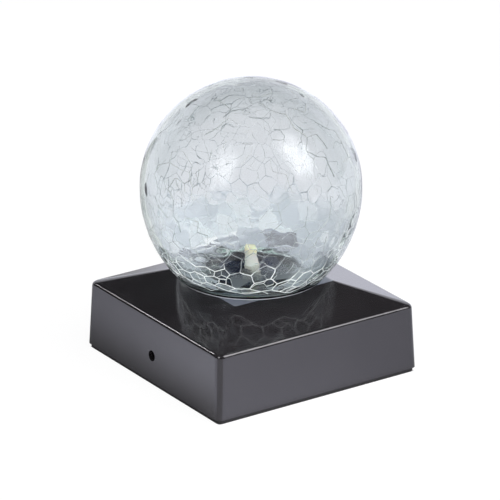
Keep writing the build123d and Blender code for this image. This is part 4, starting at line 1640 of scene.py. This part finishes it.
@dataclass
class Studio:
    """Floor, world, soft boxes and camera."""

    azimuth: float = -34.18
    elevation: float = 21.55
    distance: float = 1.983
    focal_pixels: float = 4416.0
    eye_height: float = 73.9 * MM
    aim_height: float = 53.1 * MM
    aim_side: float = -0.45 * MM
    nearest: float = 0.05
    farthest: float = 50.0
    floor_half: float = 4.0
    floor_drop: float = 0.1 * MM
    sky_stops: tuple[tuple[float, Colour], ...] = (
        (0.04, (0.95, 0.95, 0.97)),
        (0.22, (0.60, 0.60, 0.64)),
        (0.33, (0.26, 0.26, 0.29)),
        (0.56, (0.03, 0.03, 0.034)),
    )
    mirror_sky: Colour = (0.02, 0.02, 0.022)
    backdrop: Colour = (1.10, 1.11, 1.20)
    backdrop_span: Span = (0.40, 0.72)
    sky_span: Span = (0.42, 0.60)
    bounces: int = 24
    glass_bounces: int = 20
    clear_bounces: int = 48

    def directions(self) -> tuple[Vector, Vector, Vector]:
        """Works out how the camera stands.

        Returns:
            The camera's right, its up, and the way from the object to the camera.
        """
        turn, rise = math.radians(self.azimuth), math.radians(self.elevation)
        back = Vector((math.sin(turn) * math.cos(rise), -math.cos(turn) * math.cos(rise), math.sin(rise)))
        right = Vector((math.cos(turn), math.sin(turn), 0.0))
        return right, back.cross(right), back

    def camera(self) -> None:
        """Stands the camera where the photograph was taken from."""
        right, _, back = self.directions()
        eye = Vector((0.0, 0.0, self.eye_height)) + back * self.distance
        aim = Vector((0.0, 0.0, self.aim_height)) + right * self.aim_side
        lens = bpy.data.cameras.new("camera")
        lens.sensor_width = SENSOR_WIDTH
        lens.lens = self.focal_pixels / IMAGE_WIDTH * SENSOR_WIDTH
        lens.clip_start = self.nearest
        lens.clip_end = self.farthest
        made = bpy.data.objects.new("camera", lens)
        made.location = eye
        made.rotation_mode = "QUATERNION"
        made.rotation_quaternion = (aim - eye).to_track_quat("-Z", "Y")
        bpy.context.scene.collection.objects.link(made)
        bpy.context.scene.camera = made

    def floor(self) -> None:
        """Lays the floor under the foot."""
        half, low = self.floor_half, -self.floor_drop
        corners = np.array([(-half, -half, low), (half, -half, low), (half, half, low), (-half, half, low)])
        made = add_mesh("floor", corners, [(0, 1, 2, 3)], smooth=False)
        made.data.materials.append(Paint.FLOOR.value.material())

    def world(self) -> None:
        """Sets pale surroundings under a dark ceiling, white where the camera looks past the floor."""
        world = bpy.data.worlds.new("studio")
        world.use_nodes = True
        world.node_tree.nodes.clear()
        graph = Graph(world.node_tree)
        way = graph.node("ShaderNodeTexCoord", output="Generated")
        _, _, height = graph.axes(way)
        sky = graph.node("ShaderNodeValToRGB", {"stops": self.sky_stops}, {0: height}, "Color")
        seen, _, mirrored = graph.rays()
        _, _, back = self.directions()
        ahead = graph.measure("DOT_PRODUCT", way, Vector((-back.x, -back.y, 0.0)).normalized())
        behind = graph.soft_step(ahead, *self.backdrop_span)
        low = 1.0 - graph.soft_step(height, *self.sky_span)
        mirror = graph.blend(behind * low, self.mirror_sky, self.backdrop)
        colour = graph.blend(seen, graph.blend(mirrored, sky, mirror), WHITE)
        background = graph.node("ShaderNodeBackground", inputs={"Color": colour, "Strength": 1.0})
        graph.node("ShaderNodeOutputWorld", inputs={"Surface": background})
        bpy.context.scene.world = world

    def build(self) -> None:
        """Sets up the studio."""
        right, up, back = self.directions()
        centre = Vector((0.0, 0.0, self.eye_height))
        boxes = (
            SoftBox(
                "soft_box_left", (-0.46, 0.33, 0.824), width=0.88, height=1.35, radiance=4.2, edge=0.38,
            ),
            SoftBox(
                "soft_box_right", (0.697, 0.498, 0.517), width=0.95, height=1.45, radiance=5.4, edge=0.32,
            ),
            SoftBox(
                "strip_left", (-0.736, 0.644, -0.208), width=0.12, height=0.24, radiance=25.0,
                only_on="cap_shell",
            ),
            SoftBox("fill_front", (0.35, 0.70, 0.62), width=1.6, height=1.6, radiance=4.6, mirrored=False),
        )
        for box in boxes:
            box.build(right, up, back, centre)
        self.floor()
        self.world()
        self.camera()
        scene = bpy.context.scene
        scene.view_settings.view_transform = "Standard"
        scene.cycles.max_bounces = self.bounces
        scene.cycles.transmission_bounces = self.glass_bounces
        scene.cycles.transparent_max_bounces = self.clear_bounces


def write_sizes() -> None:
    """Brings the view layer up to date."""
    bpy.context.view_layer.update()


def main() -> None:
    """Builds the pieces in order, then the studio."""
    logging.basicConfig(level=logging.INFO, format="%(name)s: %(message)s")
    for assembly in (Cap(), Globe(), Lamp(), Housing(), Electronics(), Studio()):
        assembly.build()
        LOG.info("%s is done", type(assembly).__name__)
    write_sizes()


if __name__ == "__main__":
    main()
